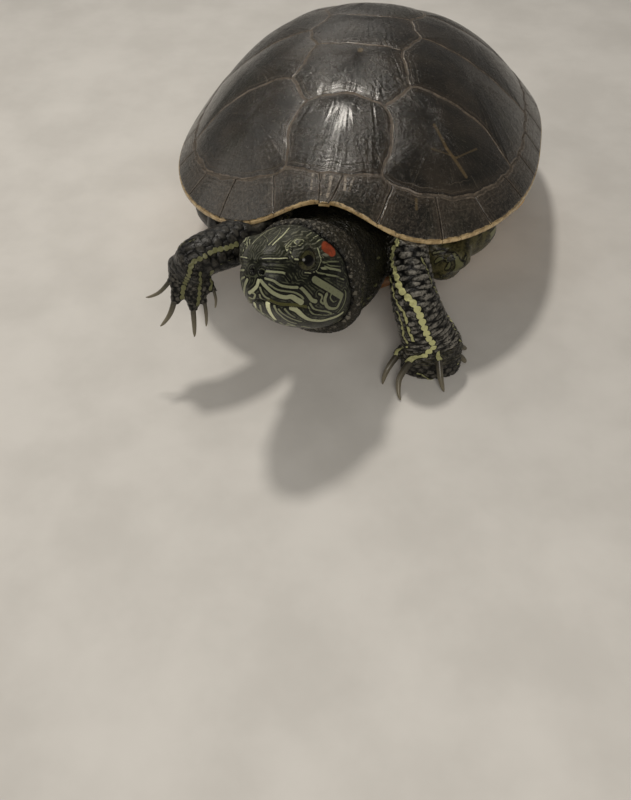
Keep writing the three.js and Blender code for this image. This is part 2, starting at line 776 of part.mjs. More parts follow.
for (const side of ["left", "right"]) {
  const fore = forelegs[side];
  const arm = limb(fore.arm, fore.across, 10).add(limb(fore.fold, fore.across, 8, 1));
  const back = fore.wristTurn.map((value) => -value);
  const step = new THREE.Vector3(...fore.wristTurn).normalize().multiplyScalar(gap);
  const pastWrist = new THREE.Vector3(...fore.wrist).add(step).toArray();
  const foreleg = beyond(arm, fore.wrist, back).subtract(bodyRoom);
  const hand = beyond(forefoot(fore), pastWrist, fore.wristTurn);
  solids.set(`foreleg_${side}`, ["skin", foreleg]);
  solids.set(`forefoot_${side}`, ["skin", beyond(hand, ...floor)]);

  const hind = hindlegs[side];
  const leg = beyond(limb(hind.leg, [0.5, 0.8, 0], 11), hind.ankle, [0, 0, 1]);
  const foot = limb(hind.leg.slice(-2), [0.5, 0.8, 0], 9, 1).add(hindfootSolid(hind));
  const belowAnkle = [hind.ankle[0], hind.ankle[1], hind.ankle[2] - gap];
  solids.set(`hindleg_${side}`, ["skin", leg.subtract(bodyRoom)]);
  solids.set(`hindfoot_${side}`, ["skin", beyond(beyond(foot, belowAnkle, [0, 0, -1]), ...floor)]);
}
solids.set("tail", ["skin", limb(tailStations, [1, 0, 0], 9).subtract(bodyRoom)]);

for (const [name, [look, solid]] of solids) {
  const { vertProperties, triVerts } = mainBody(solid.simplify(faceTolerance)).getMesh();
  const geometry = new THREE.BufferGeometry();
  geometry.setAttribute("position", new THREE.BufferAttribute(vertProperties, 3));
  geometry.setIndex(new THREE.BufferAttribute(triVerts, 1));
  geometry.computeVertexNormals();
  const mesh = new THREE.Mesh(geometry, new THREE.MeshStandardMaterial({ ...looks[look], metalness: 0 }));
  mesh.name = name;
  turtle.add(mesh);
}

// The origin is the middle of the turtle's footprint, on the floor.
const extent = new THREE.Box3().setFromObject(turtle);
const centre = extent.getCenter(new THREE.Vector3());
turtle.position.set(-centre.x, -centre.y, -extent.min.z);
turtle.updateMatrixWorld(true);

export default turtle;
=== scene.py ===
import bpy
import numpy as np
from mathutils import Matrix, Vector


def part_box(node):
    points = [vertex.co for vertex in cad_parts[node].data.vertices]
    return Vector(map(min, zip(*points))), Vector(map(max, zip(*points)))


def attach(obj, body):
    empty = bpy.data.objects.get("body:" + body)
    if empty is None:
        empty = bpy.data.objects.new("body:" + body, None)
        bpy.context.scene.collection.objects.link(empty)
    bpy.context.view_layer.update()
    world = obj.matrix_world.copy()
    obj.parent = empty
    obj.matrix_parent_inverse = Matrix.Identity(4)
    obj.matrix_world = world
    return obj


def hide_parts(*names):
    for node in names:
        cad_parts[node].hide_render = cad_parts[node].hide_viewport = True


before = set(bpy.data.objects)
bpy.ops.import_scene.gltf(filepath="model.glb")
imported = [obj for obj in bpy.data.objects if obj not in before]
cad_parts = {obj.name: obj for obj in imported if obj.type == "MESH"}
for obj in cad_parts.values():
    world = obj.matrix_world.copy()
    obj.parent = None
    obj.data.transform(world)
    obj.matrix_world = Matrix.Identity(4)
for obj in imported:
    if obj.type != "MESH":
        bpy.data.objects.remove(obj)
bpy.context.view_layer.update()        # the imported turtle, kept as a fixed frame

mm = 0.001  # every size below is in millimetres

# The shell's own form. The same numbers shape every plate, the bone under them and the rim.
shell = {
    "halfWidth": 72.3, "halfLength": 90, "domeRise": 45, "domePower": 2.18,
    "planPower": 2.64, "rearWidening": 0.034,
    "archRise": 16.2, "archWidth": 24, "archPower": 6,
    "rimHeight": 43, "pitch": 5, "rimEdge": 2, "wall": 4,
}
pitch = np.radians(shell["pitch"])


def boxOf(node):
    return [np.array(corner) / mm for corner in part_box(node)]


# The sizes here count from the middle of the shell, so this is how far that lies from the frame's origin.
shift = np.array([
    (boxOf("pleural_left_2")[1][0] + boxOf("pleural_right_2")[0][0]) / 2,
    boxOf("marginal_left_12")[1][1] - shell["halfLength"] * np.cos(pitch),
    0,
])


# Shader helpers

class Wire:
    # One value in a material. Arithmetic on it adds the Math nodes.
    def __init__(self, look, socket):
        self.look = look
        self.socket = socket

    def maths(self, operation, first, second):
        return self.look.node("ShaderNodeMath", {"operation": operation}, {0: first, 1: second})

    def __add__(self, other):
        return self.maths("ADD", self, other)

    def __radd__(self, other):
        return self.maths("ADD", other, self)

    def __sub__(self, other):
        return self.maths("SUBTRACT", self, other)

    def __rsub__(self, other):
        return self.maths("SUBTRACT", other, self)

    def __mul__(self, other):
        return self.maths("MULTIPLY", self, other)

    def __rmul__(self, other):
        return self.maths("MULTIPLY", other, self)

    def __truediv__(self, other):
        return self.maths("DIVIDE", self, other)


class Look:
    # A finish for one kind of surface, with a plain shader whose sockets the pieces' own maths feed.
    def __init__(self, name, **constants):
        self.material = bpy.data.materials.new(name)
        self.material.use_nodes = True
        self.tree = self.material.node_tree
        self.shader = self.tree.nodes["Principled BSDF"]
        for socket, value in constants.items():
            self.shader.inputs[socket.replace("_", " ")].default_value = value

    def feed(self, socket, value):
        if isinstance(value, Wire):
            self.tree.links.new(value.socket, socket)
        else:
            socket.default_value = value

    # Any node: its settings come first, then its sockets, and one output is handed back.
    def node(self, kind, settings=None, sockets=None, out=0):
        made = self.tree.nodes.new(kind)
        for key, value in (settings or {}).items():
            setattr(made, key, value)
        for key, value in (sockets or {}).items():
            self.feed(made.inputs[key], value)
        return Wire(self, made.outputs[out])

    # Colours are red, green and blue, or come from another node.
    def mix(self, under, over, amount):
        under, over = ((*tone, 1) if isinstance(tone, tuple) else tone for tone in (under, over))
        return self.node("ShaderNodeMix", {"data_type": "RGBA"}, {6: under, 7: over, 0: amount}, 2)

    # One colour going over to another as a value rises from "low" to "high".
    def fade(self, under, over, value, low, high):
        return self.mix(under, over, self.rise(value, low, high))

    # Colours laid over a base one after another, each by its own mask.
    def layered(self, base, *layers):
        for over, amount in layers:
            base = self.mix(base, over, amount)
        return base

    def vectorMath(self, operation, sockets, out=0):
        return self.node("ShaderNodeVectorMath", {"operation": operation}, sockets, out)

    # Object coordinates, in millimetres.
    def place(self):
        whole = self.node("ShaderNodeTexCoord", out="Object")
        return self.vectorMath("MULTIPLY", {0: whole, 1: (1 / mm,) * 3})

    def value(self, name):
        return self.node("ShaderNodeAttribute", {"attribute_name": name}, out="Fac")

    # Soft noise whose lumps are about "size" across.
    def noise(self, size, detail=3, roughness=0.55, where=None):
        sockets = {"Scale": 1 / size, "Detail": detail, "Roughness": roughness}
        sockets["Vector"] = where or self.place()
        return self.node("ShaderNodeTexNoise", None, sockets)

    # 0 below "low", 1 above "high", and a smooth rise between them.
    def rise(self, value, low, high):
        sockets = {"Value": value, "From Min": low, "From Max": high}
        return self.node("ShaderNodeMapRange", {"interpolation_type": "SMOOTHSTEP"}, sockets)

    def fall(self, value, low, high):
        return 1 - self.rise(value, low, high)

    # 1 between "high" and "fallFrom", with smooth edges down to 0 at "low" and "fallTo".
    def band(self, value, low, high, fallFrom, fallTo):
        return self.rise(value, low, high) * self.fall(value, fallFrom, fallTo)

    # Distance from the nearest whole number, which draws evenly spaced lines of any value.
    def fromWhole(self, value):
        part = self.node("ShaderNodeMath", {"operation": "FRACT"}, {0: value - 0.5})
        return self.node("ShaderNodeMath", {"operation": "ABSOLUTE"}, {0: part - 0.5})

    # 1 on a straight stroke between two points of the model, 0 beyond its half width.
    def stroke(self, start, end, halfWidth):
        start, end = np.array(start) + shift, np.array(end) + shift
        reach = end - start
        away = self.vectorMath("SUBTRACT", {0: self.place(), 1: tuple(start)})
        share = self.vectorMath("DOT_PRODUCT", {0: away, 1: tuple(reach / (reach @ reach))}, 1)
        share = self.node("ShaderNodeClamp", None, {"Value": share})
        foot = self.vectorMath("SCALE", {0: tuple(reach), 3: share})
        apart = self.vectorMath("DISTANCE", {0: away, 1: foot}, 1)
        return 1 - self.rise(apart, halfWidth * 0.6, halfWidth * 1.3)

    def finish(self, colour, roughness, height=None, depth=0.1):
        self.feed(self.shader.inputs["Base Color"], colour)
        self.feed(self.shader.inputs["Roughness"], roughness)
        if height is not None:
            sockets = {"Height": height, "Distance": depth * mm, "Strength": 1}
            self.feed(self.shader.inputs["Normal"], self.node("ShaderNodeBump", None, sockets))


# Mesh helpers

class Surface:
    # Gathers closed shapes for one mesh, with named values kept at their points. A row of corner numbers is
    # filled up with -1 where its face has fewer corners.
    def __init__(self):
        self.points, self.faces, self.values = [], [], {}
        self.count = 0

    def gather(self, points, faces, values):
        halves = [rows[:, [0, k, k + 1]] for rows in faces for k in (1, 2) if k + 1 < rows.shape[1]]
        corners = points[np.concatenate(halves)]
        volume = (corners[:, 0] * np.cross(corners[:, 1], corners[:, 2])).sum()
        turn = 1 if volume > 0 else -1
        self.points.append(points)
        self.faces += [np.where(rows < 0, -1, rows + self.count)[:, ::turn] for rows in faces]
        for name, value in values.items():
            self.values.setdefault(name, []).append(np.broadcast_to(value, (len(points),)))
        self.count += len(points)

    # A tube of rings, closed at each end by a fan to the middle of its last ring.
    def addTube(self, rings, **values):
        rows, columns = rings.shape[:2]
        points = np.vstack([rings.reshape(-1, 3), rings[[0, -1]].mean(1)])
        index = np.arange(rows * columns).reshape(rows, columns)
        after = np.roll(index, -1, axis=1)
        quads = np.stack([index[:-1], after[:-1], after[1:], index[1:]], -1).reshape(-1, 4)
        tips = [np.full(columns, rows * columns + end) for end in (0, 1)]
        fans = np.vstack([
            np.stack([after[0], index[0], tips[0]], -1),
            np.stack([index[-1], after[-1], tips[1]], -1),
        ])
        kept = {}
        for name, value in values.items():
            grid = np.broadcast_to(value, (rows, columns))
            kept[name] = np.concatenate([grid.ravel(), grid[[0, -1]].mean(1)])
        self.gather(points, [quads, fans], kept)

    def build(self, name, look):
        points = (np.vstack(self.points) + shift) * mm
        corners = np.concatenate([rows[rows >= 0] for rows in self.faces])
        sizes = np.concatenate([(rows >= 0).sum(1) for rows in self.faces])
        mesh = bpy.data.meshes.new(name)
        mesh.vertices.add(len(points))
        mesh.vertices.foreach_set("co", points.ravel())
        mesh.loops.add(len(corners))
        mesh.loops.foreach_set("vertex_index", corners)
        mesh.polygons.add(len(sizes))
        mesh.polygons.foreach_set("loop_start", np.cumsum(sizes) - sizes)
        mesh.polygons.foreach_set("use_smooth", np.ones(len(sizes), bool))
        for key, value in self.values.items():
            kept = mesh.attributes.new(key, "FLOAT", "POINT")
            kept.data.foreach_set("value", np.concatenate(value).astype(np.float32))
        mesh.update(calc_edges=True)
        if look:
            mesh.materials.append(look.material)
        piece = bpy.data.objects.new(name, mesh)
        bpy.context.scene.collection.objects.link(piece)
        return piece

    # Builds a piece of the model, on its one body, in the place of the frame's nodes.
    def settle(self, name, look, slot, *nodes):
        piece = self.build(name, look)
        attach(piece, "root")
        if nodes:
            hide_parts(*nodes)


# A smooth path through control rows, by Catmull-Rom cubics, read at even steps from the first to the last.
def smoothRows(rows, count):
    rows = np.asarray(rows, float)
    padded = np.vstack([2 * rows[0] - rows[1], rows, 2 * rows[-1] - rows[-2]])
    place = np.linspace(0, len(rows) - 1, count)
    start = np.minimum(place.astype(int), len(rows) - 2)
    t = (place - start)[:, None]
    before, a, b, after = (padded[start + k] for k in range(4))
    bend = (2 * before - 5 * a + 4 * b - after) * t ** 2
    return 0.5 * (2 * a + (b - before) * t + bend + (3 * a - before - 3 * b + after) * t ** 3)


# The same path read at steps of even length, measured over the first "axes" columns.
def evenRows(rows, count, axes=3):
    fine = smoothRows(rows, 40 * len(rows))
    length = lengthAlong(fine[:, :axes])
    place = np.linspace(0, length[-1], count)
    return np.stack([np.interp(place, length, column) for column in fine.T], -1)


def smoothStep(low, high, value):
    t = np.clip((value - low) / (high - low), 0, 1)
    return t * t * (3 - 2 * t)


def unit(vectors):
    return vectors / np.maximum(np.linalg.norm(vectors, axis=-1, keepdims=True), 1e-9)


# How far along a path of points each of them lies.
def lengthAlong(points):
    return np.concatenate([[0], np.cumsum(np.linalg.norm(np.diff(points, axis=0), axis=1))])


# Numbers from 0 to 1 that crowd together at both ends.
def crowded(count):
    return np.sin(np.linspace(-np.pi / 2, np.pi / 2, count)) * 0.5 + 0.5


# Even turns all the way round.
def fullTurn(count):
    return np.linspace(0, 2 * np.pi, count, endpoint=False)


# Rows of values, filled up to "count" rows with one number.
def filledUp(values, count, rest):
    return np.vstack([values, np.full((count - len(values), values.shape[1]), rest)])


sides = ((1, "left"), (-1, "right"))


# Camera, lamps and floor

view = {
    "place": (49.2, -336.9, 236.0), "azimuth": 12.33, "elevation": 46.26, "roll": -1.77,
    "lens": 40.404,
}


def makeCamera():
    azimuth, elevation, roll = np.radians([view["azimuth"], view["elevation"], view["roll"]])
    forward = np.array([
        -np.sin(azimuth) * np.cos(elevation),
        np.cos(azimuth) * np.cos(elevation),
        -np.sin(elevation),
    ])
    level = np.array([np.cos(azimuth), np.sin(azimuth), 0])
    upright = np.cross(level, forward)
    right = np.cos(roll) * level + np.sin(roll) * upright
    up = np.cross(right, forward)
    data = bpy.data.cameras.new("camera")
    data.lens = view["lens"]
    data.sensor_width = 36
    data.clip_start = 0.01
    camera = bpy.data.objects.new("camera", data)
    bpy.context.scene.collection.objects.link(camera)
    place = (np.array(view["place"]) + shift) * mm
    columns = np.column_stack([right, up, -forward, place])
    camera.matrix_world = Matrix([*columns.tolist(), [0, 0, 0, 1]])
    bpy.context.scene.camera = camera


lamps = {
    # place, size across, watts
    "key": ((-105, 112, 650), 75, 1.8),
    "front": ((150, -560, 430), 260, 1.5),
    "side": ((-520, -60, 330), 380, 0.6),
    "back": ((-200, 640, 430), 380, 0.45),
}
worldLight = 0.16


def makeLamps():
    for name, (place, size, watts) in lamps.items():
        data = bpy.data.lights.new(name, "AREA")
        data.shape = "DISK"
        data.size = size * mm
        data.energy = watts
        data.color = (1, 0.94, 0.85)
        lamp = bpy.data.objects.new(name, data)
        lamp.location = Vector(place) * mm
        aim = Vector((0, 0, 40)) * mm - lamp.location
        lamp.rotation_euler = aim.to_track_quat("-Z", "Y").to_euler()
        bpy.context.scene.collection.objects.link(lamp)
    world = bpy.data.worlds.new("world")
    world.use_nodes = True
    world.node_tree.nodes["Background"].inputs["Color"].default_value = (1, 0.96, 0.9, 1)
    world.node_tree.nodes["Background"].inputs["Strength"].default_value = worldLight
    bpy.context.scene.world = world


def makeFloor():
    half = 3.0
    corners = [(-half, -half, 0), (half, -half, 0), (half, half, 0), (-half, half, 0)]
    mesh = bpy.data.meshes.new("floor")
    mesh.from_pydata(corners, [], [(0, 1, 2, 3)])
    look = Look("paleFloor")
    look.finish(look.fade((0.6, 0.585, 0.56), (0.68, 0.665, 0.64), look.noise(40, 4), 0.3, 0.7), 0.7)
    mesh.materials.append(look.material)
    floor = bpy.data.objects.new("floor", mesh)
    bpy.context.scene.collection.objects.link(floor)


makeCamera()
makeLamps()
makeFloor()
bpy.context.scene.view_settings.view_transform = "Standard"
print("camera, lamps and floor made")


# The carapace

# A point in plan: an angle round from the front, towards the left, and a share of the way out to the rim.
# The rim is a superellipse, a little wider towards the rear.
def planPoint(angle, share):
    turn = np.radians(angle)
    power = shell["planPower"]
    stretch = share * (np.abs(np.sin(turn)) ** power + np.abs(np.cos(turn)) ** power) ** (-1 / power)
    along = -np.cos(turn) * stretch
    across = np.sin(turn) * stretch * (1 + shell["rearWidening"] * along)
    return np.stack([across * shell["halfWidth"], along * shell["halfLength"]], -1)


def planShare(x, y):
    along = y / shell["halfLength"]
    across = x / shell["halfWidth"] / (1 + shell["rearWidening"] * along)
    power = shell["planPower"]
    return (np.abs(across) ** power + np.abs(along) ** power) ** (1 / power)


# A low dome over the plan, whose front edge arches up over the neck.
def domeHeight(x, y):
    frontness = np.maximum(-y / shell["halfLength"], 0) ** shell["archPower"]
    arch = shell["archRise"] * np.exp(-(x / shell["archWidth"]) ** 2) * frontness
    return arch + shell["domeRise"] * (1 - planShare(x, y) ** shell["domePower"])


# The dome's point over a plan point, lifted along the dome's normal.
def onDome(plan, lift=0):
    x, y = plan[..., 0], plan[..., 1]
    reach = 0.5
    slopeX = (domeHeight(x + reach, y) - domeHeight(x - reach, y)) / (2 * reach)
    slopeY = (domeHeight(x, y + reach) - domeHeight(x, y - reach)) / (2 * reach)
    outward = unit(np.stack([-slopeX, -slopeY, np.ones_like(slopeX)], -1))
    return np.stack([x, y, domeHeight(x, y)], -1) + outward * np.asarray(lift)[..., None]


# Tips the shell's front up by its pitch and raises it to its height in the stance.
def inStance(points):
    x, y, z = points[..., 0], points[..., 1], points[..., 2]
    return np.stack([
        x,
        y * np.cos(pitch) + z * np.sin(pitch),
        shell["rimHeight"] + z * np.cos(pitch) - y * np.sin(pitch),
    ], -1)


def outOfStance(points):
    x, y, z = points[..., 0], points[..., 1], points[..., 2] - shell["rimHeight"]
    return np.stack([x, y * np.cos(pitch) - z * np.sin(pitch), y * np.sin(pitch) + z * np.cos(pitch)], -1)


# Where the plates meet. The ring runs round inside the marginals, as [angle, share of the way to the rim].
ringTable = [
    [0, 0.857], [3.5, 0.857], [9, 0.845], [16.4, 0.828], [19.4, 0.853], [32.3, 0.883], [44, 0.908],
    [57.5, 0.909], [75, 0.905], [94, 0.893], [125, 0.87], [152, 0.85], [180, 0.82],
]
marginalTops = [3.5, 19.4, 32.3, 44, 57.5, 70, 83, 97, 111, 125, 140, 158, 180]
marginalRims = [1.5, 14.5, 32, 46.6, 61, 72.5, 84.5, 97.5, 111, 125, 140, 158, 180]
pleuralEnds = [16.4, 62.5, 94, 120, 152]


def ringShare(angle):
    table = np.array(ringTable)
    return np.interp(np.abs(angle), table[:, 0], table[:, 1])


def ringArc(first, last):
    angle = np.linspace(first, last, max(3, int(abs(last - first) * 1.5)))
    return planPoint(angle, ringShare(angle))


def ringEnd(number):
    return tuple(planPoint(pleuralEnds[number], ringShare(pleuralEnds[number])))


# Seams of the left half, each from the front or the midline outwards.
seamLines = {
    "firstSide": [ringEnd(0), (17, -71), (17.9, -66), (18.2, -60), (16.8, -54), (14, -50)],
    "firstSecond": [(0, -46.4), (5.4, -47.2), (10.3, -48.6), (14, -50)],
    "secondFront": [(14, -50), (16.8, -46.5), (21.4, -38.6)],
    "secondRear": [(21.4, -38.6), (18.8, -31.2), (16, -21.3)],
    "secondThird": [(0, -21.2), (8, -21.1), (16, -21.3)],
    "thirdFront": [(16, -21.3), (19.5, -13.5), (21.2, -6.7)],
    "thirdRear": [(21.2, -6.7), (18, 0), (15.9, 7)],
    "thirdFourth": [(0, 4.2), (8, 5), (15.9, 7)],
    "fourthFront": [(15.9, 7), (18.6, 14), (20.5, 22)],
    "fourthRear": [(20.5, 22), (17, 31), (13, 38.5)],
    "fourthFifth": [(0, 42), (7, 40.8), (13, 38.5)],
    "fifthSide": [(13, 38.5), (21, 53), ringEnd(4)],
    "sideFirst": [(21.4, -38.6), (28, -37.3), (36, -37), (43, -36.3), (50, -36.4), ringEnd(1)],
    "sideSecond": [(21.2, -6.7), (30, -4.9), (39, -3), (50, 0.1), ringEnd(2)],
    "sideThird": [(20.5, 22), (34, 27), (46, 33.5), ringEnd(3)],
}


def seam(name):
    points = seamLines[name]
    return smoothRows(points, 10 * len(points))


def joined(*lines):
    return np.vstack([line[:-1] for line in lines])


# Half outlines of the middle plates, from the midline in front to the midline behind.
def vertebralHalf(row):
    return [
        [ringArc(0, pleuralEnds[0]), seam("firstSide"), seam("firstSecond")[::-1]],
        [seam("firstSecond"), seam("secondFront"), seam("secondRear"), seam("secondThird")[::-1]],
        [seam("secondThird"), seam("thirdFront"), seam("thirdRear"), seam("thirdFourth")[::-1]],
        [seam("thirdFourth"), seam("fourthFront"), seam("fourthRear"), seam("fourthFifth")[::-1]],
        [seam("fourthFifth"), seam("fifthSide"), ringArc(pleuralEnds[4], 180)],
    ][row]


def vertebralOutline(row):
    half = joined(*vertebralHalf(row))
    return np.vstack([half, (half * [-1, 1])[::-1][:-1]])


def pleuralOutline(number):
    return joined(*[
        [seam("secondFront"), seam("sideFirst"), ringArc(pleuralEnds[1], pleuralEnds[0]), seam("firstSide")],
        [seam("secondRear"), seam("thirdFront"), seam("sideSecond"),
         ringArc(pleuralEnds[2], pleuralEnds[1]), seam("sideFirst")[::-1]],
        [seam("thirdRear"), seam("fourthFront"), seam("sideThird"),
         ringArc(pleuralEnds[3], pleuralEnds[2]), seam("sideSecond")[::-1]],
        [seam("fourthRear"), seam("fifthSide"), ringArc(pleuralEnds[4], pleuralEnds[3]),
         seam("sideThird")[::-1]],
    ][number])


# Slow crossing waves that keep the seams from running ruler-straight.
def wander(plan):
    x, y = plan[..., 0], plan[..., 1]
    aside = 0.26 * np.sin(0.55 * y + 0.9 * np.sin(0.21 * x)) + 0.12 * np.sin(1.3 * y + 0.7 * x)
    along = 0.26 * np.sin(0.5 * x + 1.1 * np.sin(0.17 * y) + 2) + 0.12 * np.sin(1.2 * x - 0.6 * y + 1)
    return plan + np.stack([aside, along], -1)


plate = {
    "seam": 0.2,          # the gap between two plates
    "columns": 190,
    "edgeRows": 44,       # close rows that carry the bevel and the growth ridges
    "innerRows": 16,
    "edgeReach": 9,
    "bevel": 0.3, "bevelWidth": 0.3,
    "swell": 0.85,
    "thickness": 1.6,
    # growth rings, as distances in from the edge and their strengths
    "ridges": [(0.85, 1), (1.5, 0.8), (2.1, 1), (2.9, 0.5), (3.8, 0.8), (5.1, 0.4), (6.6, 0.6), (8.4, 0.3)],
    "ridgeWidth": 0.2, "ridgeDepth": 0.045,
    "ribRise": 0.085, "ribFan": 24,      # the low ribs that spread from behind the growth centre
}


# Evenly spaced points round a closed plan outline, drawn in by a distance across its own edge.
def evenOutline(outline, count, inset):
    closed = np.vstack([outline, outline[:1]])
    length = lengthAlong(closed)
    place = np.arange(count) / count * length[-1]
    even = np.stack([np.interp(place, length, column) for column in closed.T], -1)
    tangent = unit(np.roll(even, -1, axis=0) - np.roll(even, 1, axis=0))
    twice = (even[:, 0] * np.roll(even[:, 1], -1) - np.roll(even[:, 0], -1) * even[:, 1]).sum()
    inward = np.stack([-tangent[:, 1], tangent[:, 0]], -1) * np.sign(twice)
    return even + inward * inset


# A scute is a dome patch drawn as rings about its growth centre: the top from the middle out to the edge,
# a bevel, then back underneath. Ring k lies (1 - distance in / spoke) of the way out along each spoke.
def addScute(surface, outline, growth, tone, ribbed):
    edge = evenOutline(wander(outline), plate["columns"], plate["seam"] / 2)
    middle = edge.mean(0) * (1 - 0.6) + np.array(growth) * 0.6
    spokes = edge - middle
    reach = np.linalg.norm(spokes, axis=1)
    near = np.minimum(plate["edgeReach"], 0.6 * reach)
    edgeShare = (np.arange(plate["edgeRows"]) / plate["edgeRows"]) ** 1.35
    innerShare = np.linspace(0, 0.98, plate["innerRows"])
    distance = np.vstack([
        edgeShare[:, None] * near,
        near + innerShare[:, None] * (reach - near),
    ])
    share = 1 - distance / reach
    turn = np.arctan2(spokes[:, 1], spokes[:, 0])
    uneven = 0.22 * np.sin(5 * turn + 12 * tone) + 0.14 * np.sin(11 * turn + 17 * tone)
    uneven = uneven + 0.06 * np.sin(23 * turn)
    # the rings crowd together behind the growth centre and fade where a plate is smooth
    frontness = smoothStep(0.75, -0.5, np.sin(turn))
    ridges = np.zeros_like(share)
    for number, (ring, strength) in enumerate(plate["ridges"]):
        off = distance - (ring * (0.45 + 0.55 * frontness) + uneven * min(ring / 2, 1))
        patchy = 0.5 + 0.5 * np.sin(3 * turn + 2.1 * number + 20 * tone)
        fade = (0.25 + 0.75 * frontness) * (0.25 + 0.75 * patchy)
        ridges += np.exp(-(off / plate["ridgeWidth"]) ** 2) * strength * fade
    # the ribs fan from a point well behind the growth centre, so they run nearly side by side
    away = unit(np.array(growth) - edge.mean(0) + [0, 3])
    fromFan = middle + spokes * share[..., None] - np.array(growth) - away * plate["ribFan"]
    fan = np.arctan2(fromFan @ [away[1], -away[0]], -(fromFan @ away))
    ribs = np.sin(118 * fan + 3 * np.sin(13 * fan + 9 * tone) + 1.5 * np.sin(6 * share + 9 * fan))
    ribs = ribs + np.sin(203 * fan + 2 * np.sin(17 * fan + 5 * tone) + 3 * share) * 0.5
    ribs = ribs * (0.45 + 0.55 * np.sin(31 * fan + 4 * share + 20 * tone))
    ribs = ribs * smoothStep(0.02, 0.35, share) * smoothStep(1, 0.93, share) * (0.2 + 0.8 * frontness)
    lift = plate["swell"] * (1 - share ** 2) - 0.3 + plate["ribRise"] * ribbed * ribs
    lift = lift - plate["bevel"] * np.exp(-distance / plate["bevelWidth"]) - plate["ridgeDepth"] * ridges
    top = onDome(middle + spokes * share[..., None], lift)
    under = [(1, 0.75), (1, plate["thickness"]), (0.6, plate["thickness"]), (0.1, plate["thickness"])]
    below = [onDome(middle + spokes * out, np.full(len(reach), -depth)) for out, depth in under]
    rows = np.concatenate([top[::-1], np.array(below)])
    values = {
        "edge": distance[::-1], "ridge": ridges[::-1],
        "spokeX": np.broadcast_to(np.cos(turn), share.shape),
        "spokeY": np.broadcast_to(np.sin(turn), share.shape),
    }
    surface.addTube(inStance(rows), **{key: filledUp(value, len(rows), 0) for key, value in values.items()})


rim = {
    "columns": 54, "topRows": 40, "underRows": 14, "cornerRadius": 0.55,
    "ridges": (0.9, 1.9, 3.1), "ridgeWidth": 0.28, "ridgeStrength": 0.7, "ridgeDepth": 0.08,
    "drops": (0.35, 0.9, 1.4, 1.75),      # rows down the rim's edge
}


# A marginal is a loop of section points, carried round the rim from one seam to the next: out over the top
# from the ring to the rim, down the rim's edge, and back underneath.
def addMarginal(surface, tops, rims, flip, reachOut=1.0):
    gapAngle = np.degrees(plate["seam"] / 2 / shell["halfWidth"])
    sideways = crowded(rim["columns"])
    topAngle = tops[0] + gapAngle + sideways * (tops[1] - tops[0] - 2 * gapAngle)
    rimAngle = rims[0] + gapAngle + sideways * (rims[1] - rims[0] - 2 * gapAngle)
    start = ringShare(topAngle) + plate["seam"] / 2 / shell["halfWidth"]
    out = crowded(rim["topRows"])[:, None]
    angle = topAngle + out * (rimAngle - topAngle)
    share = start + out * (reachOut - start)
    plan = planPoint(angle, share)
    plan = plan + (wander(plan) - plan) * (1 - out[..., None]) ** 2
    # distances to the two end seams, to the ring and to the rim
    width = np.linalg.norm(plan[:, -1] - plan[:, 0], axis=-1)[:, None]
    endDistance = np.minimum(sideways, 1 - sideways) * width
    length = np.linalg.norm(plan[-1] - plan[0], axis=-1)
    ringDistance = out * length
    rimDistance = (1 - out) * length
    edge = np.minimum(endDistance, ringDistance)
    ridges = np.zeros_like(edge)
    for place in rim["ridges"]:
        ridges += np.exp(-((edge - place) / rim["ridgeWidth"]) ** 2) * rim["ridgeStrength"]
    corner = rim["cornerRadius"]
    past = np.clip(1 - rimDistance / corner, 0, 1)
    lift = -plate["bevel"] * np.exp(-edge / plate["bevelWidth"]) - rim["ridgeDepth"] * ridges
    lift = lift - corner * (1 - np.sqrt(1 - past ** 2 * 0.99)) * 0.8
    top = onDome(plan, lift)
    lip = onDome(plan[-1], 0)
    drop = np.array(rim["drops"])[:, None]
    face = lip - np.array([0, 0, 1]) * drop[..., None]
    back = np.linspace(1, 0, rim["underRows"])[:, None]
    underPlan = planPoint(topAngle + back * (rimAngle - topAngle), start + back * (reachOut - 0.006 - start))
    blend = smoothStep(0.3, 1, back)[..., None]
    thick = onDome(underPlan, np.full(underPlan.shape[:2], -shell["wall"]))
    thin = onDome(underPlan, 0) - np.array([0, 0, shell["rimEdge"]])
    under = thick * (1 - blend) + thin * blend
    loop = np.concatenate([top, face, under]).transpose(1, 0, 2)
    if flip:
        loop = loop * [-1, 1, 1]
    # how far past the rim's upper corner each point lies, less than nothing on the top
    rimPast = np.concatenate([-rimDistance, drop + 0 * length, 3 + (1 - back) * length]).T
    values = {
        "edge": (edge, 5), "seamEnd": (endDistance, 5), "ridge": (ridges, 0),
        "spokeX": (sideways * width, 0), "spokeY": (ringDistance * 0.12, 0),
    }
    kept = {key: filledUp(value, loop.shape[1], rest).T for key, (value, rest) in values.items()}
    surface.addTube(inStance(loop), rimPast=rimPast, **kept)


# The bone that the plates lie on: a thin lens just under the dome, seen only in the seams.
def makeBone(look):
    surface = Surface()
    angle = np.linspace(0, 360, 240, endpoint=False)
    tops = [(0.02 + 0.93 * k / 59, -0.5) for k in range(60)]
    unders = [(0.95 - 0.93 * k / 19, -1.6 - 1.8 * min(k / 4, 1)) for k in range(20)]
    rows = [onDome(planPoint(angle, share), np.full(240, lift)) for share, lift in tops + unders]
    surface.addTube(inStance(np.array(rows)))
    surface.settle("shellBone", look, "carapace")


# Paler bars and stains on the plates: places in plan, half width, strength.
shellMarks = [
    ([(31.5, -50.5), (36.8, -56.1), (44.8, -60.3)], 0.7, 0.6),
    ([(31.8, -58.9), (40.6, -56.8), (47, -48.3)], 0.4, 0.4),
    ([(1.2, -26.4), (1.2, -25.6)], 1.1, 0.8),
    ([(29.2, -75.6), (29.7, -78.3)], 0.6, 0.6),
]

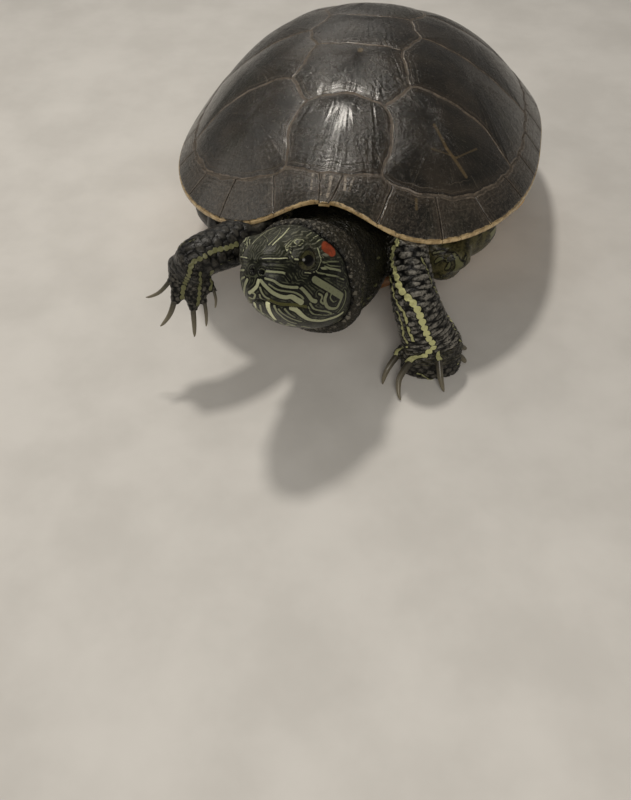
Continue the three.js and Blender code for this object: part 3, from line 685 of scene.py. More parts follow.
# Pale scratches on the front of the rim, given in the same way.
rimScratches = [
    ([(-6.4, -77.5), (-5.8, -84)], 0.5, 0.5),
    ([(-2.3, -78), (-1.9, -87)], 0.45, 0.5),
    ([(0.1, -78.5), (0.6, -88)], 0.7, 0.7),
    ([(4.9, -77), (5.5, -83)], 0.6, 0.55),
    ([(7.6, -77.5), (7, -83)], 0.5, 0.45),
]


# A mark's straight strokes over the dome, as layers of one tone. "share" breaks them up.
def markLayers(look, marks, lift, tone, share=None):
    layers = []
    for plan, halfWidth, strength in marks:
        places = inStance(onDome(np.array(plan, float), lift))
        for start, end in zip(places[:-1], places[1:]):
            mark = look.stroke(start, end, halfWidth)
            layers.append((tone, (mark * share if share else mark) * strength))
    return layers


# Nearly black horn with dust in its grain, paler lines along the growth ridges, and scratches along each
# plate's spokes.
def shellLook(name, streak, wear):
    look = Look(name, Specular_IOR_Level=0.42, Coat_Roughness=0.12, Coat_Weight=0.14)
    edge, ridge = look.value("edge"), look.value("ridge")
    spoke = look.node("ShaderNodeCombineXYZ", None, {0: look.value("spokeX"), 1: look.value("spokeY"), 2: 0})
    fine, scratch = look.noise(1.1, 4, 0.7), look.noise(streak, 3, 0.6, spoke)
    # pale dust in the grain, and a paler tone along the growth ridges
    dustAndPaleRidges = look.rise(fine, 0.5, 0.85) * 0.3 + look.rise(ridge, 0.35, 0.9) * 0.55
    patch = look.rise(look.noise(7, 3), 0.35, 0.65)
    broken = look.rise(look.noise(1.7, 3, 0.65), 0.36, 0.6)
    worn = look.band(edge, 0.05, 0.15, 0.45, 0.65) * (patch * 0.3 + broken * 0.45 + 0.15) * wear
    scuff = look.rise(scratch, 0.56, 0.7) * look.rise(look.noise(4, 4, 0.6), 0.45, 0.65)
    base = look.layered(
        look.fade((0.008, 0.007, 0.0052), (0.026, 0.021, 0.0155), look.noise(14, 4), 0.35, 0.7),
        ((0.015, 0.016, 0.01), look.rise(look.noise(22, 2), 0.5, 0.75) * 0.5),
        ((0.11, 0.09, 0.067), dustAndPaleRidges),
        ((0.045, 0.034, 0.024), look.fall(edge, 0.6, 3.5) * 0.4),
        ((0.004, 0.0035, 0.003), look.fall(edge, 0.9, 1.2) * 0.6 * wear),
        ((0.19, 0.152, 0.115), worn),       # a pale line inside the dark one
        *markLayers(look, shellMarks, 0.3, (0.12, 0.085, 0.04)),
        ((0.15, 0.128, 0.1), scuff * 0.55),
    )
    rough = look.rise(look.noise(2, 5, 0.65), 0.35, 0.65) * 0.16 + look.rise(fine, 0.4, 0.8) * 0.12 + 0.115
    height = look.noise(0.55, 4, 0.6) * 0.7 + scratch * 1.2 - ridge * 0.3 + look.noise(1.9, 3) * 0.9
    return look, base, rough, height


# The rim's horn is dustier, with a tan edge that reaches back underneath.
def rimLook():
    look, base, rough, height = shellLook("rimHorn", 0.8, 0.6)
    rimPast, seamEnd = look.value("rimPast"), look.value("seamEnd")
    past = rimPast + look.noise(2.2, 3) * 0.9 - 0.45
    share = look.rise(look.noise(0.8, 3, 0.65), 0.36, 0.6)
    tan = look.layered(
        look.fade((0.36, 0.25, 0.12), (0.6, 0.45, 0.24), look.noise(3), 0.35, 0.65),
        ((0.05, 0.035, 0.02), look.rise(look.noise(1.6, 4, 0.7), 0.55, 0.66) * 0.8),
        ((0.02, 0.015, 0.01), look.rise(rimPast, 4, 6) * look.rise(look.noise(9, 2), 0.45, 0.6)),
        ((0.05, 0.035, 0.02), look.fall(seamEnd, 0.1, 0.9)),
    )
    base = look.layered(
        base,
        ((0.13, 0.11, 0.088), look.rise(look.noise(1.1, 4, 0.7), 0.4, 0.7) * 0.3),
        *markLayers(look, rimScratches, 0.2, (0.42, 0.36, 0.29), share),
        ((0.006, 0.005, 0.004), look.fall(seamEnd, 0.05, 0.3)),
        (tan, look.rise(past, -0.3, 0)),
    )
    look.finish(base, rough, height, 0.22)
    return look


def makeShell():
    tones = np.random.default_rng(5).random(16)      # one for each plate, so that no two are alike
    look, base, rough, height = shellLook("carapaceHorn", 0.05, 1)
    look.finish(base, rough, height, 0.22)
    vertebrals = Surface()
    growth = [(0, -41), (0, -23), (0, 2), (0, 28), (0, 57)]
    for row in range(5):
        addScute(vertebrals, vertebralOutline(row), growth[row], tones[row], 1)
    nodes = [f"vertebral_{row}" for row in range(1, 6)]
    vertebrals.settle("vertebralScutes", look, "carapace", *nodes)

    sideGrowth = [(32, -50), (40, -18), (40, 15), (36, 44)]
    for side, name in sides:
        pleurals = Surface()
        for number in range(4):
            outline = pleuralOutline(number) * [side, 1]
            centre = np.array(sideGrowth[number]) * [side, 1]
            addScute(pleurals, outline, centre, tones[8 + number + 4 * (side > 0)], 0.3)
        nodes = [f"pleural_{name}_{number}" for number in range(1, 5)]
        pleurals.settle(f"pleuralScutes_{name}", look, "carapace", *nodes)

    look = rimLook()
    for side, name in sides:
        marginals = Surface()
        for number in range(12):
            ends = slice(number, number + 2)
            addMarginal(marginals, marginalTops[ends], marginalRims[ends], side < 0)
        nodes = [f"marginal_{name}_{number}" for number in range(1, 13)]
        marginals.settle(f"marginalScutes_{name}", look, "carapace", *nodes)
    nuchal = Surface()
    top, lip = marginalTops[0], marginalRims[0]
    addMarginal(nuchal, [-top, top], [-lip, lip], False, 1.016)      # it stands out a little past the rim
    nuchal.settle("nuchalScute", look, "carapace", "nuchal")

    bone = Look("seamHorn")
    grain = bone.rise(bone.noise(5, 3), 0.35, 0.65)
    bone.finish(bone.mix((0.035, 0.028, 0.02), (0.08, 0.063, 0.046), grain), 0.6, grain, 0.05)
    makeBone(bone)


makeShell()
print("carapace made")


# The head. It is drawn pointing along -Y with its snout at the origin, then turned and set in its place.

head = {
    "snout": (-12.9, -133.4, 68.4), "turn": (-26.2, -33.2, -18.7),
    # distance behind the snout, half width, crown height, chin depth
    "stations": [
        [-0.4, 0.05, 2.3, 1.9],
        [0, 2.8, 5.6, -2.6], [1.2, 5.4, 7.8, -5.2], [4, 8.1, 10.4, -8.2], [8, 10.4, 12.6, -10.6],
        [13, 12.6, 14.8, -12.8], [19, 15, 16.2, -15], [26, 16.5, 16.4, -16.4], [32, 16.5, 15.4, -16.6],
        [37, 14.4, 13.6, -15.4], [40, 8, 7, -9],
    ],
    "power": 2.3, "rows": 150, "columns": 240,
    "middle": (0, 20, 0),
    "mouthDepth": 0.5, "mouthWidth": 0.35, "nostrilDepth": 0.9, "nostrilWidth": 0.55,
    "ears": [(112, 0), (-112, 0)], "earDepth": 0.35,
    "orbit": (7, 12.1, 6.2), "orbitRadius": 6.2,
    "eye": (9.3, 12.1, 5.6), "eyeRadius": 4.2, "gaze": (0.85, -0.5, -0.05),
    "lidAxis": (0.92, -0.36, 0.12), "lidLong": 66, "lidUpper": 42, "lidLower": 50, "lidTilt": 42,
    "lidSunk": 0.8, "lidThick": 1.25, "upperThicker": 0.35,
    # where the roll of skin meets the head: degrees round from the crown, distance behind the snout
    "collarLine": [
        (0, 21), (24, 19.6), (39, 20.4), (54, 24.6), (68, 27), (82, 29), (98, 31), (115, 33.6), (131, 35),
        (150, 36), (180, 36.5),
    ],
    # the roll's section: distance behind that line and rise over the head
    "collarRoll": [
        (-1.4, -4), (-0.3, -1.2), (0.5, 0.6), (1.7, 1.7), (3.2, 1.9), (5, 1.3), (8, 0.7), (12, 0.5), (13, -5),
    ],
}


def rotation(axis, degrees):
    return np.array(Matrix.Rotation(np.radians(degrees), 3, axis))


headFrame = rotation("Z", head["turn"][0]) @ rotation("X", head["turn"][1]) @ rotation("Y", head["turn"][2])


def onHead(points):
    return points @ headFrame.T + np.array(head["snout"])


# The direction from the middle of the head: degrees round from the snout towards the left, then degrees up.
def lookedAt(places):
    around, up = np.radians(np.asarray(places, float)).T
    return np.stack([np.sin(around) * np.cos(up), -np.cos(around) * np.cos(up), np.sin(up)], -1)


# Distance over the head from each point to a smooth line through the places of a mark, less its half width.
def markDistance(directions, radius, places, halfWidths):
    line = unit(smoothRows(lookedAt(places), 14 * len(places)))
    width = np.linspace(halfWidths[0], halfWidths[-1], len(line))
    apart = np.sqrt(np.maximum(2 - 2 * directions @ line.T, 0))
    return (apart * radius[:, None] - width).min(1)


# The same, to the nearer of a mark and its mirror image.
def pairDistance(directions, radius, places, halfWidths):
    mirrored = [(-around, up) for around, up in places]
    return np.minimum(*[markDistance(directions, radius, line, halfWidths) for line in (places, mirrored)])


# Distance over the head from each point to one place.
def spotDistance(directions, radius, place):
    return radius * np.linalg.norm(directions - lookedAt([place]), axis=1)


# Lays one mark over those kept so far: each point keeps the nearest one's distance and brightness.
def laid(pale, bright, distance, shine):
    return np.minimum(pale, distance), np.where(distance < pale, shine, bright)


# Each point's distance and direction from the middle of the head.
def fromMiddle(points):
    spoke = points - np.array(head["middle"])
    return np.linalg.norm(spoke, axis=1), unit(spoke)


# Marks of the left half, as places on the head, with the half width at either end and a brightness.
paleMarks = [
    ([(8, 15), (13, 16), (21, 17), (29, 19)], (0.12, 0.17), 0.55),
    ([(12, 5), (18, 5), (23, 5), (28, 4), (33, -2)], (0.32, 0.29), 0.22),
    ([(11, -1), (18, -3), (24, -7), (32, -9), (41, -10)], (0.32, 0.41), 0.2),
    ([(45, -10), (50, -14), (57, -20), (64, -26), (71, -28)], (0.48, 0.65), 0.16),
    ([(14, -6), (21, -11), (28, -13), (37, -15), (45, -19), (51, -24)], (0.23, 0.29), 0.12),
    ([(7, -3), (13, -10), (17, -14), (23, -18), (29, -20), (35, -20), (41, -24), (49, -29)],
     (0.48, 0.85), 0.28),
    ([(5, -3), (3, -8), (-2, -12), (-8, -15)], (0.48, 0.5), 0.5),
    ([(-5, -14), (-1, -16), (-6, -21), (-11, -20)], (0.29, 0.29), 0.3),
    ([(6, -9), (7, -14), (9, -18), (12, -20)], (0.29, 0.29), 0.2),
    ([(4, -16), (4, -20), (8, -23)], (0.29, 0.29), 0.2),
    ([(9, -26), (6, -34), (-1, -50), (-16, -67)], (0.65, 0.55), 1),
    ([(-9, -27), (-16, -35)], (0.48, 0.3), 0.9),
    ([(-2, -29), (-12, -41), (-35, -56)], (0.32, 0.23), 0.3),
    ([(15, -30), (16, -43), (21, -59), (37, -70), (64, -72)], (0.32, 0.35), 0.25),
    ([(19, -35), (23, -44), (32, -55), (49, -62), (70, -64)], (0.26, 0.32), 0.2),
    ([(27, -36), (34, -46), (46, -55)], (0.29, 0.23), 0.15),
    ([(36, -36), (45, -41), (57, -49), (75, -55), (95, -55), (109, -51), (117, -44), (123, -38), (126, -32)],
     (0.75, 0.6), 0.42),
    ([(-13, -88), (125, -82)], (0.5, 0.5), 0.4),
    ([(28, -78), (86, -82)], (0.5, 0.5), 0.3),
    ([(118, -74), (140, -66)], (0.5, 0.5), 0.3),
    ([(155, -60), (153, -52)], (0.6, 0.6), 0.3),
    ([(150, -42), (141, -36)], (0.5, 0.5), 0.2),
    ([(65, -1), (73, -5), (86, -10), (97, -14), (108, -17)], (1.1, 1.1), 0.12),
    ([(76, 13), (89, 12), (105, 9)], (0.39, 0.32), 0.14),
    ([(69, 7), (84, 5), (98, 3), (110, 0)], (0.32, 0.29), 0.1),
    ([(79, 20), (91, 20), (102, 19)], (0.29, 0.23), 0.06),
    ([(80, 16), (94, 15), (104, 14)], (0.19, 0.19), 0.06),
    ([(85, -18), (85, -25), (93, -32), (103, -33), (110, -30), (110, -24), (110, -19)], (0.57, 0.41), 0.15),
    ([(93, -16), (92, -21), (99, -25), (104, -23)], (0.23, 0.19), 0.1),
    ([(73, -18), (79, -21), (79, -27), (85, -30)], (0.32, 0.29), 0.12),
    ([(63, -31), (73, -38), (87, -39), (98, -38), (108, -38)], (0.29, 0.29), 0.12),
    ([(61, -35), (73, -44), (87, -45), (104, -42), (113, -37)], (0.23, 0.23), 0.1),
    ([(113, -11), (116, -18), (118, -27), (118, -34)], (0.24, 0.24), 0.1),
    ([(25, 68), (21, 53), (18, 44), (15, 36), (13, 30)], (0.22, 0.17), 0.66),
    ([(-2, 67), (10, 56), (12, 45), (11, 37), (9, 29)], (0.14, 0.14), 0.38),
    ([(-11, 45), (2, 38), (6, 33)], (0.14, 0.11), 0.31),
    ([(77, 58), (58, 51)], (0.17, 0.14), 0.52),
    ([(87, 53), (71, 49)], (0.17, 0.14), 0.52),
    ([(89, 47), (76, 45)], (0.17, 0.14), 0.45),
    ([(28, 27), (26, 31), (28, 34), (32, 38)], (0.14, 0.12), 0.45),
    ([(29, 27), (29, 31), (32, 34)], (0.14, 0.13), 0.38),
    ([(33, 28), (32, 33), (37, 39), (47, 44)], (0.14, 0.14), 0.3),
    ([(38, 32), (36, 35), (40, 38), (47, 38), (45, 34), (41, 31)], (0.17, 0.14), 0.46),
    ([(32, 26), (33, 22), (38, 19), (42, 19)], (0.2, 0.2), 0.44),
    ([(75, 38), (76, 31), (76, 23), (72, 16), (67, 10), (59, 7), (50, 7)], (0.2, 0.15), 0.28),
    ([(81, 33), (80, 25)], (0.13, 0.13), 0.21),
]
lipMark = [(12, -22), (19, -27), (29, -30), (40, -32), (56, -36)]
redMark = [(90, 37), (94, 32)]
mouthLine = [(-84, -42), (-62, -40), (-49, -37), (-33, -34), (-22, -32), (-14, -27), (-7, -23), (2, -22),
             (8, -23), (14, -27), (22, -32), (33, -34), (49, -37), (62, -40), (84, -42)]
nostrils = [(8, 4), (-1, 5)]
# Ridges and hollows of the left half: places, reach and rise.
headFolds = [
    ([(3, 14), (15, 15), (28, 18)], 0.55, 0.3),         # the edge between crown and snout side
    ([(12, 10), (22, 11), (30, 10)], 1.3, -0.45),       # the hollow before the eye
    ([(42, 35), (48, 36)], 2.6, 0.75),                  # the brow
    ([(27, 32), (28, 26), (30, 20), (36, 12)], 0.4, -0.35),  # the crease in front of the brow
    ([(80, 40), (83, 30), (80, 18), (72, 8), (58, 2)], 0.45, -0.22),
    ([(36, -31), (52, -34), (66, -37)], 0.9, 0.25),     # the upper jaw's fleshy edge
    ([(20, -40), (50, -48), (80, -50)], 1.6, 0.3),
]


# The larger of two distances, with a soft step between them.
def softMax(first, second, softness):
    apart = np.clip(softness - np.abs(first - second), 0, None)
    return np.maximum(first, second) + apart ** 2 / (4 * softness)


# Swells a ring-drawn surface over a ball: each point moves out along its own spoke to where that meets it.
def overBall(points, axis, centre, radius):
    spoke = points - axis
    length = np.linalg.norm(spoke, axis=-1)
    outward = unit(spoke)
    toBall = centre - axis
    along = (toBall * outward).sum(-1)
    inside = along ** 2 - (toBall ** 2).sum(-1) + radius ** 2
    reach = np.where(inside > 0, along + np.sqrt(np.maximum(inside, 0)), -9)
    return axis + outward * softMax(length, reach, 1.2)[..., None]


# A ring of the head at each distance behind the snout: a superellipse between the crown and the chin.
def headSection(behind, turn):
    stations = evenRows(head["stations"], 400, 2)
    halfWidth, crown, chin = (np.interp(behind, stations[:, 0], column) for column in stations.T[1:])
    power = 2 / head["power"]
    across = np.sign(np.cos(turn)) * np.abs(np.cos(turn)) ** power
    upright = np.sign(np.sin(turn)) * np.abs(np.sin(turn)) ** power
    seat = (crown + chin) / 2
    points = np.stack([halfWidth * across, behind + 0 * turn, seat + (crown - chin) / 2 * upright], -1)
    return points, np.stack([0 * points[..., 0], points[..., 1], seat + 0 * turn], -1)


# The roll of skin behind the head: the head's own rings, drawn out by the roll's rise.
def collarRings():
    turn = fullTurn(110)
    points, axis = headSection(np.full(len(turn), 26.0), turn)
    roundness = np.degrees(np.arctan2(np.abs(points[:, 0]), points[:, 2] + 2))
    line = np.interp(roundness, *np.array(head["collarLine"]).T)
    rings = []
    for back, rise in smoothRows(head["collarRoll"], 30):
        points, axis = headSection(np.minimum(line + back, 31), turn)
        points = points + unit(points - axis) * rise
        points[:, 1] = np.minimum(line + back, 41)
        rings.append(onHead(points))
    return np.array(rings)


# How far the mouth, the folds, the nostrils and the eardrums push each point out from the middle. Each is a
# bell curve of the distance to its line or spot.
def headMoves(points):
    radius, directions = fromMiddle(points)
    mouth = np.maximum(markDistance(directions, radius, mouthLine, (0, 0)), 0)
    move = -head["mouthDepth"] * np.exp(-(mouth / head["mouthWidth"]) ** 2)
    for places, reach, rise in headFolds:
        here = pairDistance(directions, radius, places, (0, 0))
        move = move + rise * np.exp(-(here / reach) ** 2)
    for nostril in nostrils:
        pit = spotDistance(directions, radius, nostril)
        move = move - head["nostrilDepth"] * np.exp(-(pit / head["nostrilWidth"]) ** 2)
        move = move + 0.18 * np.exp(-((pit - 1.1) / 0.4) ** 2)      # its raised edge
    ear = np.minimum(*[spotDistance(directions, radius, place) for place in head["ears"]])
    move = move - head["earDepth"] * smoothStep(4.2, 3.2, ear)
    return directions * move[:, None], mouth


# Near each eye the points are drawn in to a ball round it. The lids' opening is an ellipse tilted across the
# gaze: past it the lids rise over the eye, then ease back to the head.
def withEyelids(points):
    lid = np.full(len(points), 9.0)
    for side in (1, -1):
        flip = np.array([side, 1, 1])
        centre, gaze = np.array(head["eye"]) * flip, unit(np.array(head["lidAxis"]) * flip)
        tilt = np.radians(head["lidTilt"])
        slit = np.array([0, np.cos(tilt), np.sin(tilt)])
        slit = unit(slit - gaze * (slit @ gaze))
        lift = np.cross(gaze, slit) * side
        fromEye = points - centre
        length = np.linalg.norm(fromEye, axis=1)
        angle = np.degrees(np.arccos(np.clip(fromEye @ gaze / length, -1, 1)))
        around = np.arctan2(fromEye @ lift, fromEye @ slit)
        short = np.where(np.sin(around) > 0, head["lidUpper"], head["lidLower"])
        past = angle - 1 / np.hypot(np.cos(around) / head["lidLong"], np.sin(around) / short)
        thick = head["lidThick"] + head["upperThicker"] * smoothStep(-0.2, 0.6, np.sin(around))
        height = head["eyeRadius"] - head["lidSunk"] + thick * smoothStep(-5, 3, past)
        height = height - 0.3 * np.exp(-((past - 14) / 3.5) ** 2)       # the crease round the lids
        keep = smoothStep(5, 30, past)
        near = (angle < 110) & (length < 9)
        wanted = height * (1 - keep) + length * keep
        points = np.where(near[:, None], centre + unit(fromEye) * wanted[:, None], points)
        lid = np.where(near, np.minimum(lid, past / 10), lid)
    return points, lid


# The head is superellipse rings along its axis, over an orbit ball on each side, then moved as above.
def makeHead(surface):
    behind = evenRows(head["stations"], head["rows"], 2)[:, :1]
    points, axis = headSection(behind, fullTurn(head["columns"]))
    for side in (1, -1):
        points = overBall(points, axis, np.array(head["orbit"]) * [side, 1, 1], head["orbitRadius"])
    shape = points.shape
    points = points.reshape(-1, 3)
    moves, mouth = headMoves(points)
    points, lid = withEyelids(points)
    points = points + moves

    radius, directions = fromMiddle(points)
    pale, bright = np.full(len(points), 9.0), np.zeros(len(points))
    for places, widths, shine in paleMarks:
        onOneSide = max(around for around, up in places) > 20
        here = (pairDistance if onOneSide else markDistance)(directions, radius, places, widths)
        pale, bright = laid(pale, bright, here, shine)
    for nostril in nostrils:
        pit = spotDistance(directions, radius, nostril)
        # the nostril holes are painted black with the mouth's line, as painted shade in the openings
        mouth = np.minimum(mouth, np.maximum(pit - 0.4, 0))
        pale, bright = laid(pale, bright, np.abs(pit - 1) - 0.08, 0.03)
    fields = {
        "pale": pale, "bright": bright, "mouth": mouth, "lid": lid,
        "lip": pairDistance(directions, radius, lipMark, (0.8, 0.8)),
        "red": pairDistance(directions, radius, redMark, (1.9, 1.9)),
        "headUp": directions[:, 2], "headRound": np.degrees(np.arctan2(points[:, 0], points[:, 2] + 2)),
        "part": np.zeros(len(points)), "scaleEdge": np.ones(len(points)), "along": points[:, 1],
    }
    kept = {name: value.reshape(shape[:2]) for name, value in fields.items()}
    surface.addTube(onHead(points).reshape(shape), **kept)


# The soft parts behind the head

# [x, y, z, half width, half depth] along each form, from the trunk outwards.
limbs = {
    "neck": {
        "stations": [
            [1, -58, 40, 19, 17], [2, -74, 41, 20, 18], [2.4, -88, 42, 19.4, 19],
            [1.6, -98, 44.6, 17.8, 18], [0.6, -101.5, 46.6, 17.4, 17.4],
        ],
        "across": (1, 0.05, 0), "scale": (2.2, 1.9), "height": 0.25,
    },
    # the loose roll of skin round the back of the head
    "collar": {
        "stations": [
            [0.9, -100, 45.8, 16.5, 16.5], [0.2, -102.5, 47.4, 17, 17], [-0.7, -105.5, 49.4, 17, 17.4],
            [-1.6, -108.6, 51.4, 16, 17], [-2.3, -110.8, 52.8, 14, 15],
        ],
        "across": (1, 0.05, 0), "scale": (1.3, 1.1), "height": 0.3,
    },
    "armLeft": {
        "stations": [
            [18, -56, 43, 11, 11], [26, -70, 47, 8.6, 10], [28.4, -83, 47.4, 6.2, 8.4],
            [31.8, -93, 36, 7.7, 7.8], [35.9, -95.4, 25, 8.7, 6.8], [40.2, -94, 13, 10.6, 5.6],
            [40.6, -93.6, 8, 10.6, 5],
        ],
        "across": (1, 0.25, 0), "scale": (9, 1.6), "height": 0.55,
    },
    "foldLeft": {
        "stations": [
            [30, -58, 39, 11, 12], [39.5, -67, 34.5, 10, 10.5], [45.5, -71.5, 35, 6.5, 6.5],
            [48, -73.5, 33.5, 2.5, 2.5],
        ],
        "across": (1, 0.25, 0), "scale": (2, 1.8), "height": 0.25,
    },
    "armRight": {
        "stations": [
            [-14, -58, 43, 10, 11], [-20, -74, 47.6, 8, 9.5], [-26, -88, 50, 6.4, 8.4],
            [-33, -97, 50.6, 6.8, 8], [-39.4, -102.6, 50.4, 7.2, 7.2], [-44, -105.4, 48.8, 7.6, 5.4],
            [-45.4, -107, 45, 7.8, 4],
        ],
        "across": (0.55, 0.1, 0.8), "scale": (4.5, 2.4), "height": 0.16,
    },
    "foldRight": {
        "stations": [
            [-26, -58, 39, 11, 12], [-37, -68, 40, 10, 11], [-42, -76, 41, 6, 7], [-44.5, -79, 41, 2, 2.5],
        ],
        "across": (0.55, 0.1, 0.8), "scale": (2, 1.8), "height": 0.25,
    },
    "palmLeft": {
        "stations": [
            [40.4, -94, 15, 10.6, 5.6], [40.6, -93.6, 8, 10.6, 5], [40.2, -93.4, 2.4, 11.2, 5.8],
            [40, -93.2, 0.2, 10.6, 5.4],
        ],
        "across": (1, 0.25, 0), "scale": (2.6, 1.9), "height": 0.35,
    },
    "palmRight": {
        "stations": [
            [-42.4, -104.2, 49.6, 7.2, 5.4], [-44.6, -106.4, 46, 8, 4.2], [-45.2, -107.6, 42.6, 7.4, 2.8],
        ],
        "across": (0.55, 0.1, 0.8), "scale": (2.4, 1.8), "height": 0.16,
    },
    "legLeft": {
        "stations": [
            [26, 48, 30, 14, 13], [40, 56, 28, 11, 10.4], [49.5, 63, 22, 8.6, 8.6], [51, 68, 16, 8.6, 8.6],
            [48, 70, 8, 9.6, 8], [47, 70.5, 4, 9, 7],
        ],
        "across": (0.5, 0.8, 0), "scale": (2.6, 2.2), "height": 0.3,
    },
    "legRight": {
        "stations": [
            [-26, 48, 30, 14, 13], [-40, 48, 28, 11, 10.4], [-50.5, 47, 22, 8.6, 8.6],
            [-55.5, 49, 16, 8.4, 8.6], [-56, 51, 8, 9.6, 8], [-55.6, 52, 4, 9, 7],
        ],
        "across": (0.5, 0.8, 0), "scale": (2.6, 2.2), "height": 0.3,
    },
    "tail": {
        "stations": [
            [0, 62, 24, 9, 8.5], [3, 76, 20, 6.4, 6], [8, 88, 15, 4.2, 4], [15, 97, 11, 2.6, 2.5],
            [22, 103, 9, 1, 1],
        ],
        "across": (1, 0, 0), "scale": (2, 1.6), "height": 0.2,
    },
}

# Stripes on the limbs and the neck: places on the skin, the half width at either end, a brightness, and the
# length of the beads that scale edges break a stripe into.
limbMarks = [
    ([[25.5, -87.1, 53.1], [24.3, -87.7, 50.6], [23.6, -88.2, 48.1], [23.8, -90.3, 45.9],
      [24.7, -93.3, 44.9], [26.1, -95.9, 43.3], [27.6, -98.1, 41], [29.4, -99.5, 39.9],
      [31.7, -100.7, 38.3], [34.2, -101.6, 35.7], [35.8, -102, 32], [37.3, -102.1, 27.8],
      [39.1, -101.9, 23.1], [40.9, -100.7, 18.7], [39, -100.9, 15], [37.5, -100.5, 12.4]], (1.6, 1.25),
      0.95, 2.7),
    ([[33.7, -91.4, 49.8], [34.6, -91.8, 47.9], [36.2, -92.5, 44.9], [37.7, -93.8, 41.8], [39, -93.9, 39.6],
      [40.3, -92.7, 35.9], [41.9, -92.2, 31.9]], (0.4, 0.4), 0.3, 0),
    ([[44.1, -93.5, 28], [45.9, -92.4, 24.2], [46.8, -92.6, 23.3]], (0.35, 0.6), 0.9, 0),
    ([[46.5, -94.2, 23.8], [48.3, -93.3, 20.1], [49.4, -94, 17.6], [50.8, -92.6, 14.5]], (0.45, 0.45), 0.5,
      1.8),
    ([[51.2, -92, 12.7], [51.1, -91.4, 9.2], [51.1, -91.4, 5.8], [50.2, -93.9, 5]], (0.5, 0.5), 0.6, 1.8),
    ([[22.9, -89.5, 39.9], [23.9, -93.7, 40.3], [25.5, -97.4, 37.6], [27.6, -100.2, 35.3],
      [29.8, -101.8, 33.2], [31, -101.9, 29.7], [32, -102, 25.9], [32.8, -102.3, 23.7],
      [33.8, -102.2, 21.3]], (0.45, 0.6), 0.7, 0),
    ([[27.2, -99.8, 32.4], [28.6, -101.3, 29.6], [29.6, -101.3, 25.4], [30.3, -100.7, 21],
      [31.5, -101.1, 19.2]], (0.5, 0.55), 0.6, 0),
    ([[31.9, -100.6, 16.7], [29.8, -97.3, 13.4], [28.1, -95.8, 10.4], [27.3, -97.6, 9.4]], (0.35, 0.8), 0.7,
      0),
    ([[38.1, -100.5, 13], [35.5, -100, 11.9], [33.2, -100.3, 10.5], [31.9, -100.6, 8.5]], (0.6, 1.3), 0.7,
      0),
    ([[42.9, -99.6, 15.2], [42.8, -99.2, 12.7], [43.6, -98.7, 10.8]], (0.5, 1.0), 0.6, 0),
    ([[35.8, -99.8, 3.4], [38.1, -99.8, 2.6], [40.3, -99.2, 0.4], [41.8, -98.6, 0.3]], (0.35, 0.4), 0.45,
      0),
    ([[39.7, -74.8, 41.2], [42.6, -75.1, 41.5], [45, -75.8, 39.5], [46, -76.3, 36.5], [45.2, -75.6, 33],
      [42.7, -75.5, 30.1]], (1.1, 0.9), 0.12, 0),
    ([[37.8, -75.6, 36.3], [39.2, -75.9, 38.3], [41.3, -76.4, 38.4], [42.7, -76.8, 37], [42, -76.5, 34.2]],
      (0.6, 0.6), 0.1, 0),
    ([[37.6, -74.7, 31.3], [39.7, -75.4, 31.4], [40.5, -75.5, 29.8]], (0.5, 0.5), 0.1, 0),
    ([[48.8, -70.5, 41.5], [48.7, -73, 39.9], [48.1, -74.8, 37.7], [47.3, -75.5, 34.6]], (0.5, 0.5), 0.1,
      0),
    ([[36.7, -74.7, 39.4], [38.2, -74.8, 40.4], [39.9, -75.4, 40]], (0.5, 0.45), 0.1, 0),
    ([[-27.2, -99.9, 54.6], [-28.7, -101.4, 54.5], [-31.1, -103.9, 54.8], [-33.2, -105.1, 55.1],
      [-34.9, -106.8, 55], [-36.5, -108.2, 54.4], [-38.4, -109.4, 53.6], [-40.2, -110.3, 52.9],
      [-41.1, -111.3, 51.7], [-41.4, -112.4, 50.4], [-42.4, -112.2, 47.8], [-44.5, -110.7, 43.6],
      [-45.7, -110.4, 40.1], [-46.1, -111, 37.8], [-46, -110.8, 36.2]], (1.05, 1), 0.2, 2),
    ([[-38.3, -110.3, 49.1], [-38.6, -110.9, 45.8], [-40.1, -109.1, 40.3], [-40.4, -110.3, 37.2],
      [-41, -111.1, 34.2]], (0.8, 0.8), 0.16, 2),
    ([[-35.2, -107.8, 47.6], [-36.6, -105.8, 42], [-37, -107.2, 39.1]], (0.7, 0.6), 0.16, 0),
    ([[-41, -104, 57.7], [-42.7, -104.7, 57], [-44.3, -104.5, 57], [-45.2, -105.1, 56.2],
      [-46.1, -106.5, 55.7], [-47.1, -106, 54.8]], (0.2, 0.25), 0.4, 0),
    ([[-27.3, -102.7, 50.7], [-29.7, -104.9, 50.6], [-32.3, -106.5, 50.1]], (0.2, 0.2), 0.15, 0),
    ([[19.6, -93.6, 49.7], [18.7, -102, 54], [17.8, -108.1, 56.8], [16.5, -112.4, 56.2]], (0.5, 0.6), 0.07,
      0),
    ([[19.8, -100, 49.5], [18.9, -108.3, 52.5], [17.6, -112.7, 52.9], [16.3, -115, 52]], (0.5, 0.5), 0.08,
      0),
    ([[19.8, -98.7, 42], [18.7, -110.4, 48.2], [17.3, -114.4, 48.7], [16.2, -115.9, 46.8]], (0.55, 0.5),
      0.08, 0),
    ([[18.2, -101.5, 38.7], [17.1, -113, 45], [15.3, -115.4, 42.8], [13.5, -114.2, 38.6]], (0.5, 0.5), 0.09,
      0),
    ([[13.6, -115.3, 53.5], [14.2, -116.4, 51.2], [14.1, -117.5, 48.7]], (0.2, 0.2), 0.12, 0),
    ([[11.5, -115.6, 37.6], [13.3, -116.3, 40.2]], (0.6, 0.5), 0.25, 0),
]

